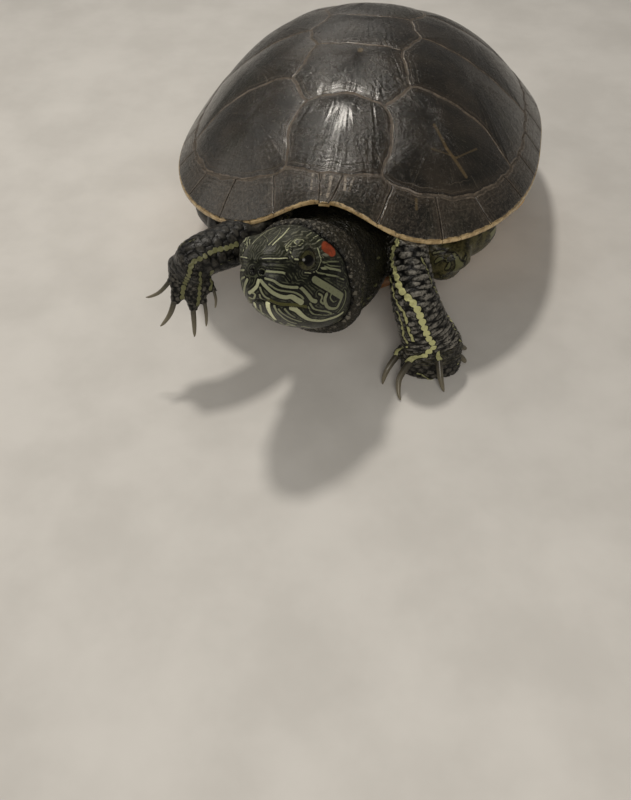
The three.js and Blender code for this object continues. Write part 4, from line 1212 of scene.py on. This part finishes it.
# Each digit's knuckle, the root of its claw, the claw's tip and the digit's half width.
digits = {
    "palmLeft": [
        ([31, -92, 9.5], [27.6, -97, 8.4], [23.9, -104.5, 0.5], 1.9),
        ([37.4, -95.4, 9.6], [32.5, -99.6, 8.6], [31.4, -111.5, 0.5], 2.1),
        ([42.4, -94.4, 12.4], [43, -97.8, 9.8], [46.4, -104.5, 0.5], 2),
        ([46.5, -90, 7], [49.6, -88.8, 4.5], [53, -88, 0.5], 1.9),
        ([46.5, -86, 6], [49.3, -83.5, 4], [52.6, -80.5, 0.5], 1.8),
    ],
    "palmRight": [
        ([-48, -106.6, 47], [-50.6, -108.6, 41.6], [-59.2, -112, 36.4], 1.5),
        ([-47.4, -107.4, 45.4], [-48.8, -111.2, 35.6], [-53.5, -117, 28.3], 1.9),
        ([-43.8, -107.4, 44.4], [-42.8, -111, 33.4], [-41.9, -116, 24.2], 1.9),
        ([-40.6, -106.4, 43.8], [-38.8, -109.4, 34.4], [-38.2, -113, 27], 1.35),
        ([-38, -105, 43], [-36, -106.2, 38], [-35.7, -108.6, 32], 1.1),
    ],
}

# A hind foot is laid out forwards from its heel: a broad paddle, then four clawed toes and a fifth without.
hindfoot = {
    "left": {"heading": 12, "heel": (46, 71)},
    "right": {"heading": -20, "heel": (-55, 53)},
    "length": 23, "halfWidth": 11.5, "height": 7, "toeSpread": 34, "toeLength": 7, "clawLength": 7,
}


# A smooth path through a limb's stations, with its three axes at each step and the half width along "across".
def limbFrame(stations, across, spacing=1.0):
    rough, across = np.asarray(stations, float), np.array(across, float)
    length = np.linalg.norm(np.diff(rough[:, :3], axis=0), axis=1).sum()
    rows = evenRows(rough, max(8, int(length / spacing)))
    centre, sizes = rows[:, :3], rows[:, 3:5]
    forward = unit(np.gradient(centre, axis=0))
    side = unit(across - forward * (forward @ across)[:, None])
    return centre, sizes, forward, side, np.cross(forward, side)


# Elliptical rings round that path. "flat" draws in the half of each that faces down.
def limbRings(stations, across, columns=40, spacing=1.0, flat=0):
    centre, sizes, forward, side, up = limbFrame(stations, across, spacing)
    turn = fullTurn(columns)[None, :, None]
    keel = 1 - flat * (np.sin(turn) * np.sign((up @ [0, 0, 1]).mean()) < 0)
    wide = np.cos(turn) * side[:, None] * sizes[:, None, :1]
    return centre[:, None] + wide + np.sin(turn) * up[:, None] * sizes[:, None, 1:] * keel


# Which points lie in the box round some others, widened by a reach.
def inBoxOf(others, points, reach):
    return ((points > others.min(0) - reach) & (points < others.max(0) + reach)).all(1)


# Distance from each point to a smooth line through places on the skin, less its half width.
def pathDistance(points, places, halfWidths, beads):
    line = evenRows(places, 16 * len(places))
    step = np.linalg.norm(line[1] - line[0])
    width = np.linspace(*halfWidths, len(line))
    if beads:
        place = np.arange(len(line)) * step / beads
        width = width * np.abs(np.sin(np.pi * place)) ** 0.4 - 0.05
    apart = np.full(len(points), 9.0)
    near = inBoxOf(line, points, 4)
    spread = np.linalg.norm(points[near][:, None] - line[None], axis=-1)
    nearest = spread.argmin(1)
    apart[near] = spread[np.arange(len(nearest)), nearest] - width[nearest]
    return apart


# A toe's stations, from inside the foot to just past the claw's root.
def toeStations(knuckle, root, thick):
    knuckle, root = np.array(knuckle, float), np.array(root, float)
    return [
        [*knuckle, thick * 1.2, thick * 1.05],
        [*(root + (knuckle - root) * 0.45), thick * 1.05, thick],
        [*root, thick * 0.95, thick * 0.9],
        [*(root + (root - knuckle) * 0.16), thick * 0.45, thick * 0.45],
    ]


def toeAcross(root, tip):
    return np.cross([0, 0, 1], np.array(tip, float) - np.array(root, float))


# Points of a hind foot, from distances forward of its heel, aside and up.
def hindPlace(side, forward, aside, up):
    aim = np.radians(hindfoot[side]["heading"])
    heelX, heelY = hindfoot[side]["heel"]
    return [
        heelX + np.sin(aim) * forward + np.cos(aim) * aside,
        heelY - np.cos(aim) * forward + np.sin(aim) * aside,
        up,
    ]


# Its toes in the same form as the digits above. The fifth ends in a stub.
def hindToes(side):
    toes = []
    for index, aside in enumerate((-1, -0.5, 0, 0.5, 1)):
        splay = np.radians(aside * hindfoot["toeSpread"])
        ahead, out = hindfoot["length"] * 0.62, aside * hindfoot["halfWidth"] * 0.55
        reach = hindfoot["length"] * 0.3 + hindfoot["toeLength"]
        tip = reach + (hindfoot["clawLength"] if index < 4 else 3)
        toes.append([
            *[hindPlace(side, ahead + np.cos(splay) * far, np.sin(splay) * far + out, up)
              for far, up in ((0, 3.2), (reach, 2.6), (tip, 0.5))],
            2.4,
        ])
    return toes


# The stations of its broad paddle, from the heel to the roots of the toes.
def hindPaddle(side):
    length, halfWidth, height = hindfoot["length"], hindfoot["halfWidth"], hindfoot["height"]
    shares = [(-3, 0.5, 0.55, 0.6), (length * 0.3, 0.45, 0.85, 0.75), (length * 0.7, 0.35, 1, 0.55),
              (length, 0.25, 0.8, 0.3)]
    return [
        [*hindPlace(side, far, 0, height * up), halfWidth * wide, height * thick]
        for far, up, wide, thick in shares
    ]


# The trunk shows only in the openings round the neck, the legs and the tail, so it is two thick walls there.
trunkWalls = [
    [[0, -66, 36, 50, 17], [0, -60, 37, 56, 20], [0, -52, 38, 58, 22], [0, -44, 38, 50, 18]],
    [[0, 40, 34, 50, 18], [0, 50, 33, 58, 20], [0, 58, 32, 54, 19], [0, 66, 31, 40, 15]],
]
skin = {"voxel": 1.25, "smoothing": 5}


# Every limb and toe: its stations, the way its width lies, the size of its scales and how far they rise.
def everyLimb():
    def toeParts(toes, scale, height):
        return [(toeStations(knuckle, root, thick), toeAcross(root, tip), scale, height)
                for knuckle, root, tip, thick in toes]

    parts = [tuple(limb[key] for key in ("stations", "across", "scale", "height")) for limb in limbs.values()]
    for toes in digits.values():
        parts += toeParts(toes, (3.4, 1.7), 0.25)
    for side in ("left", "right"):
        aim = np.radians(hindfoot[side]["heading"])
        parts.append((hindPaddle(side), (np.cos(aim), np.sin(aim), 0), (2.4, 2), 0.25))
        parts += toeParts(hindToes(side), (3, 1.7), 0.2)
    return parts


# Joins the overlapping tubes into one closed surface of small, even squares.
def fused(surface, voxel):
    piece = surface.build("loose", None)
    modifier = piece.modifiers.new("fuse", "REMESH")
    modifier.mode = "VOXEL"
    modifier.voxel_size = voxel * mm
    bpy.context.view_layer.update()
    whole = piece.evaluated_get(bpy.context.evaluated_depsgraph_get())
    mesh = whole.to_mesh()
    points = np.zeros(len(mesh.vertices) * 3)
    mesh.vertices.foreach_get("co", points)
    corners = np.zeros(len(mesh.loops), int)
    mesh.loops.foreach_get("vertex_index", corners)
    whole.to_mesh_clear()
    bpy.data.objects.remove(piece)
    return points.reshape(-1, 3) / mm - shift, corners.reshape(-1, 4)


# Splits the chosen squares into four. A neighbour keeps its shape and takes the new corners into its outline.
def refined(points, quads, chosen):
    edges = np.stack([quads, np.roll(quads, -1, axis=1)], -1)
    ordered = np.sort(edges.reshape(-1, 2), axis=1)
    keys = ordered[:, 0] * len(points) + ordered[:, 1]
    unique, inverse = np.unique(keys, return_inverse=True)
    inverse = inverse.reshape(quads.shape)
    split = np.zeros(len(unique), bool)
    split[inverse[chosen].ravel()] = True
    number = np.cumsum(split) - 1 + len(points)
    middles = (points[unique[split] // len(points)] + points[unique[split] % len(points)]) / 2
    centreNumber = len(points) + len(middles) + np.arange(chosen.sum())
    centres = points[quads[chosen]].mean(1)
    edgePoint = np.where(split[inverse], number[inverse], -1)
    inner, ring = quads[chosen], edgePoint[chosen]
    small = np.stack([
        np.stack([inner[:, k], ring[:, k], centreNumber, ring[:, (k + 3) % 4]], -1) for k in range(4)
    ], 1).reshape(-1, 4)
    rest = np.stack([quads[~chosen], edgePoint[~chosen]], -1).reshape(-1, 8)
    whole = (rest[:, 1::2] < 0).all(1)
    return np.vstack([points, middles, centres]), np.vstack([small, rest[whole][:, ::2]]), rest[~whole]


# Draws each point towards the mean of its neighbours along the squares' edges.
def relaxed(points, squares, times, strength=0.5):
    after = np.roll(squares, -1, axis=1).ravel()
    first = np.concatenate([squares.ravel(), after])
    second = np.concatenate([after, squares.ravel()])
    count = np.maximum(np.bincount(first, minlength=len(points)), 1)[:, None]
    for _ in range(times):
        mean = np.stack([
            np.bincount(first, weights=points[second, axis], minlength=len(points)) for axis in range(3)
        ], -1) / count
        points = points + (mean - points) * strength
    return points


# Scattered cells on a plane: how much further the second nearest cell middle is than the nearest, which is
# nothing on the line between two cells. The middles are a unit grid, each moved by a hash of its square.
# "wrap" is how many squares lead round a limb.
def cells(u, v, wrap, seed):
    nearest, second = np.full(u.shape, 9.0), np.full(u.shape, 9.0)
    baseU, baseV = np.floor(u), np.floor(v)
    for stepU in (-1, 0, 1):
        for stepV in (-1, 0, 1):
            cellU, cellV = baseU + stepU, baseV + stepV
            wrapped = np.mod(cellU, np.maximum(wrap, 1))
            code = np.sin(wrapped * 127.1 + cellV * 311.7 + seed * 74.7) * 43758.5453
            jitterU = code - np.floor(code)
            code = code * 1.37 + 0.31
            jitterV = code - np.floor(code)
            offset = 0.5 * np.mod(cellV, 2)
            away = np.hypot(
                cellU + 0.5 + offset + (jitterU - 0.5) * 0.5 - u,
                cellV + 0.5 + (jitterV - 0.5) * 0.35 - v,
            )
            closer = away < nearest
            second = np.where(closer, nearest, np.minimum(second, away))
            nearest = np.where(closer, away, nearest)
    return second - nearest


# Keeps the soft parts clear of the shell: under the dome's wall, and above the plastron.
def clearOfShell(points):
    inside = outOfStance(points)
    share = planShare(inside[:, 0], inside[:, 1])
    room = 1.1 + 0.3 * smoothStep(0.8, 1, share)
    ceiling = domeHeight(inside[:, 0], inside[:, 1]) - (shell["wall"] + 0.8) * room
    inner = np.minimum(1, 0.985 / np.maximum(share, 0.01))
    rimCeiling = domeHeight(inside[:, 0] * inner, inside[:, 1] * inner) - shell["rimEdge"] - 0.9
    rimCeiling = rimCeiling + 20 * np.maximum(share - 1.035, 0) / 0.1
    ceiling = np.where(share < 0.97, ceiling, rimCeiling)
    inside[:, 2] = np.where(share < 1.2, np.minimum(inside[:, 2], ceiling), inside[:, 2])
    half = plastronHalfWidth(inside[:, 1])
    within = np.abs(inside[:, 0]) < half + 0.5
    within = within & (inside[:, 1] > plastron["front"]) & (inside[:, 1] < plastron["rear"])
    top = plastron["underside"] + plastron["thickness"] + plastronLift(inside[:, 0])
    above = inside[:, 2] > top - plastron["thickness"]
    inside[:, 2] = np.where(within & above, np.maximum(inside[:, 2], top + 0.3), inside[:, 2])
    return inStance(inside)


# Each point's place on the limb that it belongs to: the distance along it, the angle round it, the limb's
# number, how far the point is from a line between scales, and the move that raises its scale.
def limbPlaces(points, parts):
    best = np.full(len(points), 1e9)
    along, around, part = np.zeros((3, len(points)))
    edge, push = np.ones(len(points)), np.zeros_like(points)
    for number, (stations, across, scale, height) in enumerate(parts):
        centre, sizes, forward, side, up = limbFrame(stations, across)
        near = ((points[:, None] - centre[None, ::4]) ** 2).sum(-1).min(1) < (sizes.max() * 1.5 + 3) ** 2
        close = np.flatnonzero(near)
        nearest = ((points[close][:, None] - centre[None]) ** 2).sum(-1).argmin(1)
        relative = points[close] - centre[nearest]
        wide = (relative * side[nearest]).sum(1) / sizes[nearest, 0]
        high = (relative * up[nearest]).sum(1) / sizes[nearest, 1]
        ahead = (relative * forward[nearest]).sum(1)
        fit = np.abs(np.hypot(wide, high) - 1) + np.abs(ahead) * 0.5
        better = fit < best[close]
        index = close[better]
        best[index] = fit[better]
        along[index] = (lengthAlong(centre)[nearest] + ahead)[better]
        around[index] = np.arctan2(high, wide)[better]
        part[index] = number + 1
        turns = max(4, round(np.pi * sizes.sum(1).mean() / scale[0]))      # scales round its girth
        edge[index] = cells(around[index] / (2 * np.pi) % 1 * turns, along[index] / scale[1], turns, number)
        push[index] = unit(relative)[better] * (smoothStep(0, 0.5, edge[index]) * height)[:, None]
    return along, around, part, edge, push


# The neck, limbs, toes, tail and the trunk's walls, fused to one surface, with small scales raised on it.
def makeBody(surface):
    loose = Surface()
    parts = everyLimb()
    for stations, across, scale, height in parts:
        loose.addTube(limbRings(stations, across))
    for wall in trunkWalls:
        loose.addTube(limbRings(wall, (1, 0, 0), 90))
    loose.addTube(collarRings())
    points, quads = fused(loose, skin["voxel"])
    points[:, 2] = np.maximum(points[:, 2], 0)

    # the forelegs and the collar get finer squares
    x, y = points[:, 0], points[:, 1]
    fine = (y < -78) & (y > -125) & ((x > 18) | (x < -24) | (y < -98))
    points, squares, others = refined(points, quads, fine[quads].all(1))
    points = relaxed(points, squares, skin["smoothing"])
    along, around, part, edge, push = limbPlaces(points, parts)
    points = clearOfShell(points + push)
    points[:, 2] = np.maximum(points[:, 2], 0)

    blank = np.full(len(points), 9.0)
    pale, bright = blank, blank * 0
    for places, widths, shine, beads in limbMarks:
        pale, bright = laid(pale, bright, pathDistance(points, places, widths, beads), shine)
    # lengthwise stripes on the limbs that stand behind
    striped = (points[:, 1] > -60) & (part > 0)
    stripe = (np.abs(np.mod(np.degrees(around) + 25, 60) - 30) - 4) * 0.14
    bright = np.where(striped & (stripe < pale), 0.2, bright)
    pale = np.where(striped, np.minimum(pale, stripe + 0.2 * np.sin(along * 1.9)), pale)
    values = {
        "pale": pale, "bright": bright, "lip": blank, "red": blank, "mouth": blank, "lid": blank,
        "headUp": blank * 0, "headRound": np.degrees(around), "part": part,
        "scaleEdge": edge, "along": along,
    }
    surface.gather(points, [squares, others], values)


# Distance from each point to the nearest of the others, up to "limit".
def nearestDistance(points, others, limit=6):
    apart = np.full(len(points), float(limit))
    near = np.flatnonzero(inBoxOf(others, points, limit))
    for block in np.array_split(near, max(1, len(near) // 2000)):
        spread = ((points[block][:, None] - others[None]) ** 2).sum(-1)
        apart[block] = np.minimum(np.sqrt(spread.min(1)), limit)
    return apart


def makeSkin(look):
    surface = Surface()
    makeHead(surface)
    makeBody(surface)
    headPoints, bodyPoints = surface.points
    rear = headPoints[surface.values["along"][0] > 15][::5]
    collar = bodyPoints[surface.values["part"][1] == 1 + list(limbs).index("collar")]
    # distances between the head and the roll of skin behind it, which the skin's finish uses for specks and
    # for painted shade in the crease between them
    surface.values["crease"] = [nearestDistance(headPoints, collar), nearestDistance(bodyPoints, rear)]
    nodes = ["trunk", "neck", "head", "lower_jaw", "tail"]
    for side in ("left", "right"):
        nodes += [f"foreleg_{side}", f"forefoot_{side}", f"hindleg_{side}", f"hindfoot_{side}"]
    surface.settle("skin", look, "skin", *nodes)


# "part" counts the limbs in their order above: 0 is the head, 1 and 2 the neck and the collar, 3 and 4 the
# left foreleg and its fold, 5 and 6 the right ones, 7 and 8 the hands.
def skinLook():
    look = Look("turtleSkin", Specular_IOR_Level=0.2)
    rise, fall, noise = look.rise, look.fall, look.noise
    pale, bright, lip, red, mouth, lid = map(look.value, ("pale", "bright", "lip", "red", "mouth", "lid"))
    part, edge, crease = map(look.value, ("part", "scaleEdge", "crease"))
    headRound, headUp = look.value("headRound"), look.value("headUp")
    onTheHead, onTheNeck = fall(part, 0.2, 0.6), look.band(part, 0.2, 0.6, 2.2, 2.6)
    onTheArm, onTheFold = look.band(part, 2.6, 2.8, 3.2, 3.4), look.band(part, 3.4, 3.6, 4.4, 4.6)
    mottle, fine = noise(3, 4, 0.6), noise(0.8, 4, 0.7)

    # limbs: black scales with a grey bloom over their middles that is partly dust and partly a painted sheen,
    # brightest on the left foreleg, and black creases; the right foreleg carries less of it and is darker
    rightForeleg = look.band(part, 4.5, 4.6, 6.4, 6.5) + look.band(part, 7.5, 7.6, 8.4, 8.5)
    dustAndSheen = rise(fine * 0.5 + mottle * 0.5, 0.38, 0.62) * rise(edge, 0.1, 0.5) * (1 - rightForeleg * 0.6)
    limb = look.layered(
        (0.007, 0.007, 0.006),
        # the grey bloom: dust with a painted sheen on each scale's middle
        (look.mix((0.13, 0.12, 0.102), (0.28, 0.265, 0.232), onTheArm), dustAndSheen * 0.8),
        ((0.002, 0.002, 0.002), fall(edge, 0.08, 0.26)),
    )
    # neck and collar: pebbled, with pale specks
    grain = {"Vector": look.place(), "Scale": 0.62}
    pebble = look.node("ShaderNodeTexVoronoi", {"feature": "DISTANCE_TO_EDGE"}, grain)
    cell = look.node("ShaderNodeTexVoronoi", None, grain, 1)
    speck = rise(cell, 0.35, 0.75) * rise(pebble, 0.08, 0.25)
    neck = look.layered(
        look.fade((0.004, 0.004, 0.0028), (0.012, 0.011, 0.007), mottle, 0.3, 0.7),
        ((0.1, 0.088, 0.068), (speck * 0.8 + 0.1) * fall(crease, 2.6, 4.4)),
        ((0.13, 0.12, 0.098), rise(pebble, 0.04, 0.3) * rise(cell, 0.3, 0.8) * fall(crease, 1.6, 2.8)),
    )
    olive = look.fade((0.016, 0.015, 0.007), (0.085, 0.077, 0.034), mottle * 0.6 + fine * 0.4, 0.4, 0.62)
    # head: olive crown with fine flowing lines, nearly black cheeks with fainter lines beside the pale ones.
    # Where the head faces up it is lighter and its fine lines brighter: partly the crown's own colour, partly
    # painted light from above and painted highlights.
    # the upward-facing mask: it brings in the crown's olive and lines, and with them painted light from above
    crown = rise(headUp, 0.2, 0.55)
    flow = look.fromWhole(headRound / 5 + noise(5, 2, 0.4) * 4)
    hair = fall(flow, 0.07, 0.24) * rise(noise(2.4, 3), 0.38, 0.6)
    cheek = look.fade((0.004, 0.0045, 0.003), (0.011, 0.0125, 0.008), mottle, 0.3, 0.7)
    top = look.fade((0.012, 0.014, 0.0085), (0.034, 0.036, 0.023), mottle, 0.3, 0.7)
    # the fine lines, pale in their own right and made brighter as a painted highlight on the crown
    top = look.mix(top, (0.19, 0.19, 0.14), hair * 0.75)
    line = noise(0.6, 2) * 0.2 - 0.1
    echo = fall(look.fromWhole((pale + line + 0.05) / 0.8), 0.12, 0.26) * rise(pale, 0.35, 0.5)
    echo = echo * rise(noise(2.2, 2), 0.4, 0.56) * onTheHead * (1 - crown)
    stripe = look.layered(
        look.mix((0.055, 0.056, 0.026), (0.55, 0.55, 0.27), bright),
        (look.mix((0.09, 0.1, 0.055), (0.75, 0.77, 0.5), bright), onTheHead),
        ((0.02, 0.02, 0.012), rise(fine, 0.52, 0.8) * 0.6),
    )
    redTone = look.fade((0.24, 0.046, 0.018), (0.15, 0.03, 0.012), mottle, 0.4, 0.6)
    base = look.layered(
        limb,
        (neck, onTheNeck),
        (olive, onTheFold),
        # painted shade: a dark line along the back of the roll, 3.4 to 5.6 mm from the head
        ((0.002, 0.002, 0.0018), onTheNeck * rise(crease, 3.4, 4.2) * fall(crease, 4.6, 5.6)),
        (look.mix(cheek, top, crown), onTheHead),
        ((0.0025, 0.0025, 0.002), fall(pale + line, 0.25, 0.5) * (0.9 - crown * 0.45)),
        ((0.075, 0.08, 0.05), echo * 0.8),
        ((0.06, 0.06, 0.014), fall(lip + line, -0.15, 0.15)),
        (stripe, fall(pale + line, -0.08, 0.1)),
        (redTone, fall(red + line * 2, -0.2, 0.3)),
        # painted shade: black in the mouth's slit and the nostril holes
        ((0.002, 0.002, 0.0015), fall(mouth, 0.12, 0.3) * onTheHead),
        ((0.006, 0.006, 0.004), fall(lid, -0.55, -0.05)),
        # painted shade: near black in the crease where the head meets the roll
        ((0.0012, 0.0012, 0.001), fall(crease, 0.5, 1.1)),
    )
    height = fine * 0.6 + rise(edge, 0, 0.3) * 0.5 + rise(pebble, 0, 0.3) * onTheNeck * 1.6
    height = height + hair * crown * onTheHead * 0.6 + fall(pale, -0.1, 0.2) * 0.5
    look.finish(base, noise(1.2, 3) * 0.22 + 0.2, height, 0.18)
    return look


# Eyes: a ball drawn as rings about its gaze, with a little cornea swell over the iris.
eyeFinish = {"pupil": 24, "iris": 46, "rings": 90, "columns": 120}


def makeEyes():
    look = Look("turtleEye", Specular_IOR_Level=0.2)
    out, turn = look.value("gazeAngle"), look.value("gazeTurn")
    pupil, edge = eyeFinish["pupil"], eyeFinish["iris"]
    iris = look.fade((0.018, 0.018, 0.008), (0.05, 0.048, 0.02), look.noise(0.5, 3), 0.35, 0.65)
    iris = look.mix(iris, (0.006, 0.006, 0.003), look.fall(turn, 0.1, 0.35))
    eye = look.mix((0.002, 0.002, 0.002), iris, look.rise(out, pupil - 1, pupil + 1))
    eye = look.mix(eye, (0.006, 0.006, 0.004), look.rise(out, edge - 4, edge + 2))
    look.finish(eye, 0.14)
    for side, name in sides:
        flip = np.array([side, 1, 1])
        centre, gaze = np.array(head["eye"]) * flip, unit(np.array(head["gaze"]) * flip)
        slit = unit(np.cross(gaze, [0, 0, 1]))
        lift = np.cross(slit, gaze)
        angle = np.linspace(1, 179, eyeFinish["rings"])[:, None]
        around = fullTurn(eyeFinish["columns"])[None, :]
        tall = head["eyeRadius"] + 0.12 * np.exp(-(angle / 34) ** 4)
        polar = np.radians(angle)
        points = centre + tall[..., None] * (
            np.cos(polar)[..., None] * gaze
            + (np.sin(polar) * np.cos(around))[..., None] * slit
            + (np.sin(polar) * np.sin(around))[..., None] * lift
        )
        surface = Surface()
        surface.addTube(onHead(points), gazeAngle=angle, gazeTurn=np.abs(np.sin(around)))
        surface.settle(f"eyeball_{name}", look, "eye", f"eye_{name}")


claw = {"width": 1.3, "depth": 1.5, "arch": 0.2, "flat": 0.25, "rows": 26, "columns": 20}


# A claw is a narrowing tube on a curve that arches up between its root and its tip.
def addClaw(surface, knuckle, root, tip, size=1.0):
    knuckle, root, tip = (np.array(place, float) for place in (knuckle, root, tip))
    length = np.linalg.norm(tip - root)
    start = root + (knuckle - root) * 0.3
    forward = (root - knuckle) / np.linalg.norm(root - knuckle)
    top = root * 0.62 + tip * 0.38 + forward * length * claw["arch"]
    low = root * 0.25 + tip * 0.75 + forward * length * claw["arch"] * 0.6
    shares = [(start, 1.0), (root * 0.6 + top * 0.4, 0.98), (top, 0.84), (low, 0.58), (tip, 0.2)]
    stations = [[*place, claw["width"] * size * wide, claw["depth"] * size * wide] for place, wide in shares]
    rings = limbRings(stations, toeAcross(root, tip), claw["columns"], length / claw["rows"], claw["flat"])
    rings[..., 2] = np.maximum(rings[..., 2], 0)
    surface.addTube(rings, alongClaw=np.linspace(0, 1, len(rings))[:, None])


def makeClaws():
    surface = Surface()
    for palm, toes in digits.items():
        for knuckle, root, tip, thick in toes:
            addClaw(surface, knuckle, root, tip, min(1, thick / (2 if palm == "palmLeft" else 2.5)))
    for side in ("left", "right"):
        for knuckle, root, tip, thick in hindToes(side)[:4]:
            addClaw(surface, knuckle, root, tip, 0.9)
    look = Look("clawHorn", Coat_Weight=0.2, Coat_Roughness=0.2)
    place = look.value("alongClaw")
    streak = look.noise(0.5, 3)
    horn = look.fade((0.035, 0.031, 0.022), (0.16, 0.14, 0.095), place + streak * 0.5, 0.3, 1.2)
    look.finish(horn, streak * 0.15 + 0.3, streak, 0.05)
    surface.settle("claws", look, "claw")


# The plastron

plastron = {
    "front": -82, "rear": 84, "lobeHalfWidth": 39, "lobePower": 3.2, "endHalfWidth": 8,
    "bridgeHalfLength": 36, "bridgeBlend": 7, "bridgeReach": 0.965,
    "underside": -27, "thickness": 4, "keel": 36, "bridgeRise": 24, "bridgeCurve": 1.6,
    "rows": 190, "columns": 120, "edge": 1.6,
    # where each seam crosses the midline, and its bow
    "crossSeams": [(-62, 6), (-37, 2), (-6, -3), (30, 4), (54, 8)],
    "grooveDepth": 0.35, "grooveWidth": 0.35,
}


def plastronHalfWidth(y):
    centre = (plastron["front"] + plastron["rear"]) / 2
    halfLength = (plastron["rear"] - plastron["front"]) / 2
    along = np.minimum(np.abs(y - centre) / halfLength, 1)
    lobe = plastron["lobeHalfWidth"] * np.sqrt(1 - along ** plastron["lobePower"])
    past = plastron["bridgeHalfLength"] + plastron["bridgeBlend"] - np.abs(y)
    bridge = smoothStep(0, plastron["bridgeBlend"], past)
    share = np.minimum(np.abs(y / shell["halfLength"]), 1)
    narrowing = (1 - share ** shell["planPower"]) ** (1 / shell["planPower"])
    rimWidth = plastron["bridgeReach"] * shell["halfWidth"] * narrowing
    return np.maximum(lobe + (rimWidth - lobe) * bridge, plastron["endHalfWidth"])


def plastronLift(x):
    outward = np.maximum(np.abs(x) - plastron["keel"], 0) / (shell["halfWidth"] - plastron["keel"])
    return plastron["bridgeRise"] * outward ** plastron["bridgeCurve"]


# A slab carried along Y: its half width and the lift of its wings follow the formulas above, its edges are
# quarter rounds, and the seams are grooves.
def makePlastron():
    rows, columns, edge = plastron["rows"], plastron["columns"], plastron["edge"]
    spread = np.sin(np.linspace(-np.pi / 2, np.pi / 2, rows))
    y = (plastron["front"] + plastron["rear"]) / 2 + spread * (plastron["rear"] - plastron["front"]) / 2
    half = plastronHalfWidth(y)[:, None]
    share = np.sin(np.linspace(-np.pi / 2, np.pi / 2, columns))[None, :]
    x = half * share
    yGrid = y[:, None] + np.zeros_like(x)
    fromEdge = np.minimum(half - np.abs(x), np.minimum(yGrid - plastron["front"], plastron["rear"] - yGrid))
    rounding = edge * (1 - np.sqrt(1 - np.clip(1 - fromEdge / edge, 0, 1) ** 2))
    seamDistance = np.abs(x + 0.5 * np.sin(yGrid * 0.2))
    for place, bow in plastron["crossSeams"]:
        line = place + bow * (np.abs(x) / 36) ** 1.4 + 0.5 * np.sin(x * 0.3)
        seamDistance = np.minimum(seamDistance, np.abs(yGrid - line))
    bridgeSeam = np.abs(np.abs(x) - 47 + 0.6 * np.sin(yGrid * 0.25))
    seamDistance = np.minimum(seamDistance, np.where(np.abs(yGrid) < 40, bridgeSeam, 9))
    groove = plastron["grooveDepth"] * np.exp(-(seamDistance / plastron["grooveWidth"]) ** 2)
    low = plastron["underside"] + plastronLift(x) + rounding
    bottom = np.stack([x, yGrid, low + groove], -1)
    inner = slice(None, None, -3)
    high = plastron["underside"] + plastron["thickness"] + plastronLift(x) - rounding
    top = np.stack([x, yGrid, high], -1)[:, inner]
    surface = Surface()
    loop = np.concatenate([bottom, top], 1)
    # "ahead" is the distance behind the front edge, which carries the painted shadow at the front
    values = {"seam": (seamDistance, 5), "ahead": (yGrid - plastron["front"], 9)}
    kept = {key: filledUp(value.T, loop.shape[1], rest).T for key, (value, rest) in values.items()}
    surface.addTube(inStance(loop), **kept)
    look = Look("plastronHorn", Coat_Weight=0.2, Coat_Roughness=0.3)
    seams = look.value("seam")
    horn = look.fade((0.5, 0.27, 0.07), (0.62, 0.36, 0.1), look.noise(16, 3), 0.35, 0.65)
    horn = look.layered(
        horn,
        ((0.03, 0.02, 0.012), look.rise(look.noise(24, 2, 0.4), 0.5, 0.56) * look.rise(seams, 2, 6) * 0.85),
        ((0.12, 0.06, 0.025), look.fall(seams, 0.2, 0.8)),
        # painted shadow: the front end darkens towards its edge
        ((0.12, 0.035, 0.012), look.fall(look.value("ahead"), 8, 18) * 0.85),
    )
    height = look.noise(1.5, 4) + look.noise(6, 3)
    look.finish(horn, look.noise(4, 3) * 0.2 + 0.32, height, 0.15)
    surface.settle("plastronScutes", look, "plastron", "plastron")


makePlastron()
makeSkin(skinLook())
print("skin made")
makeEyes()
makeClaws()
print("eyes, claws and plastron made")
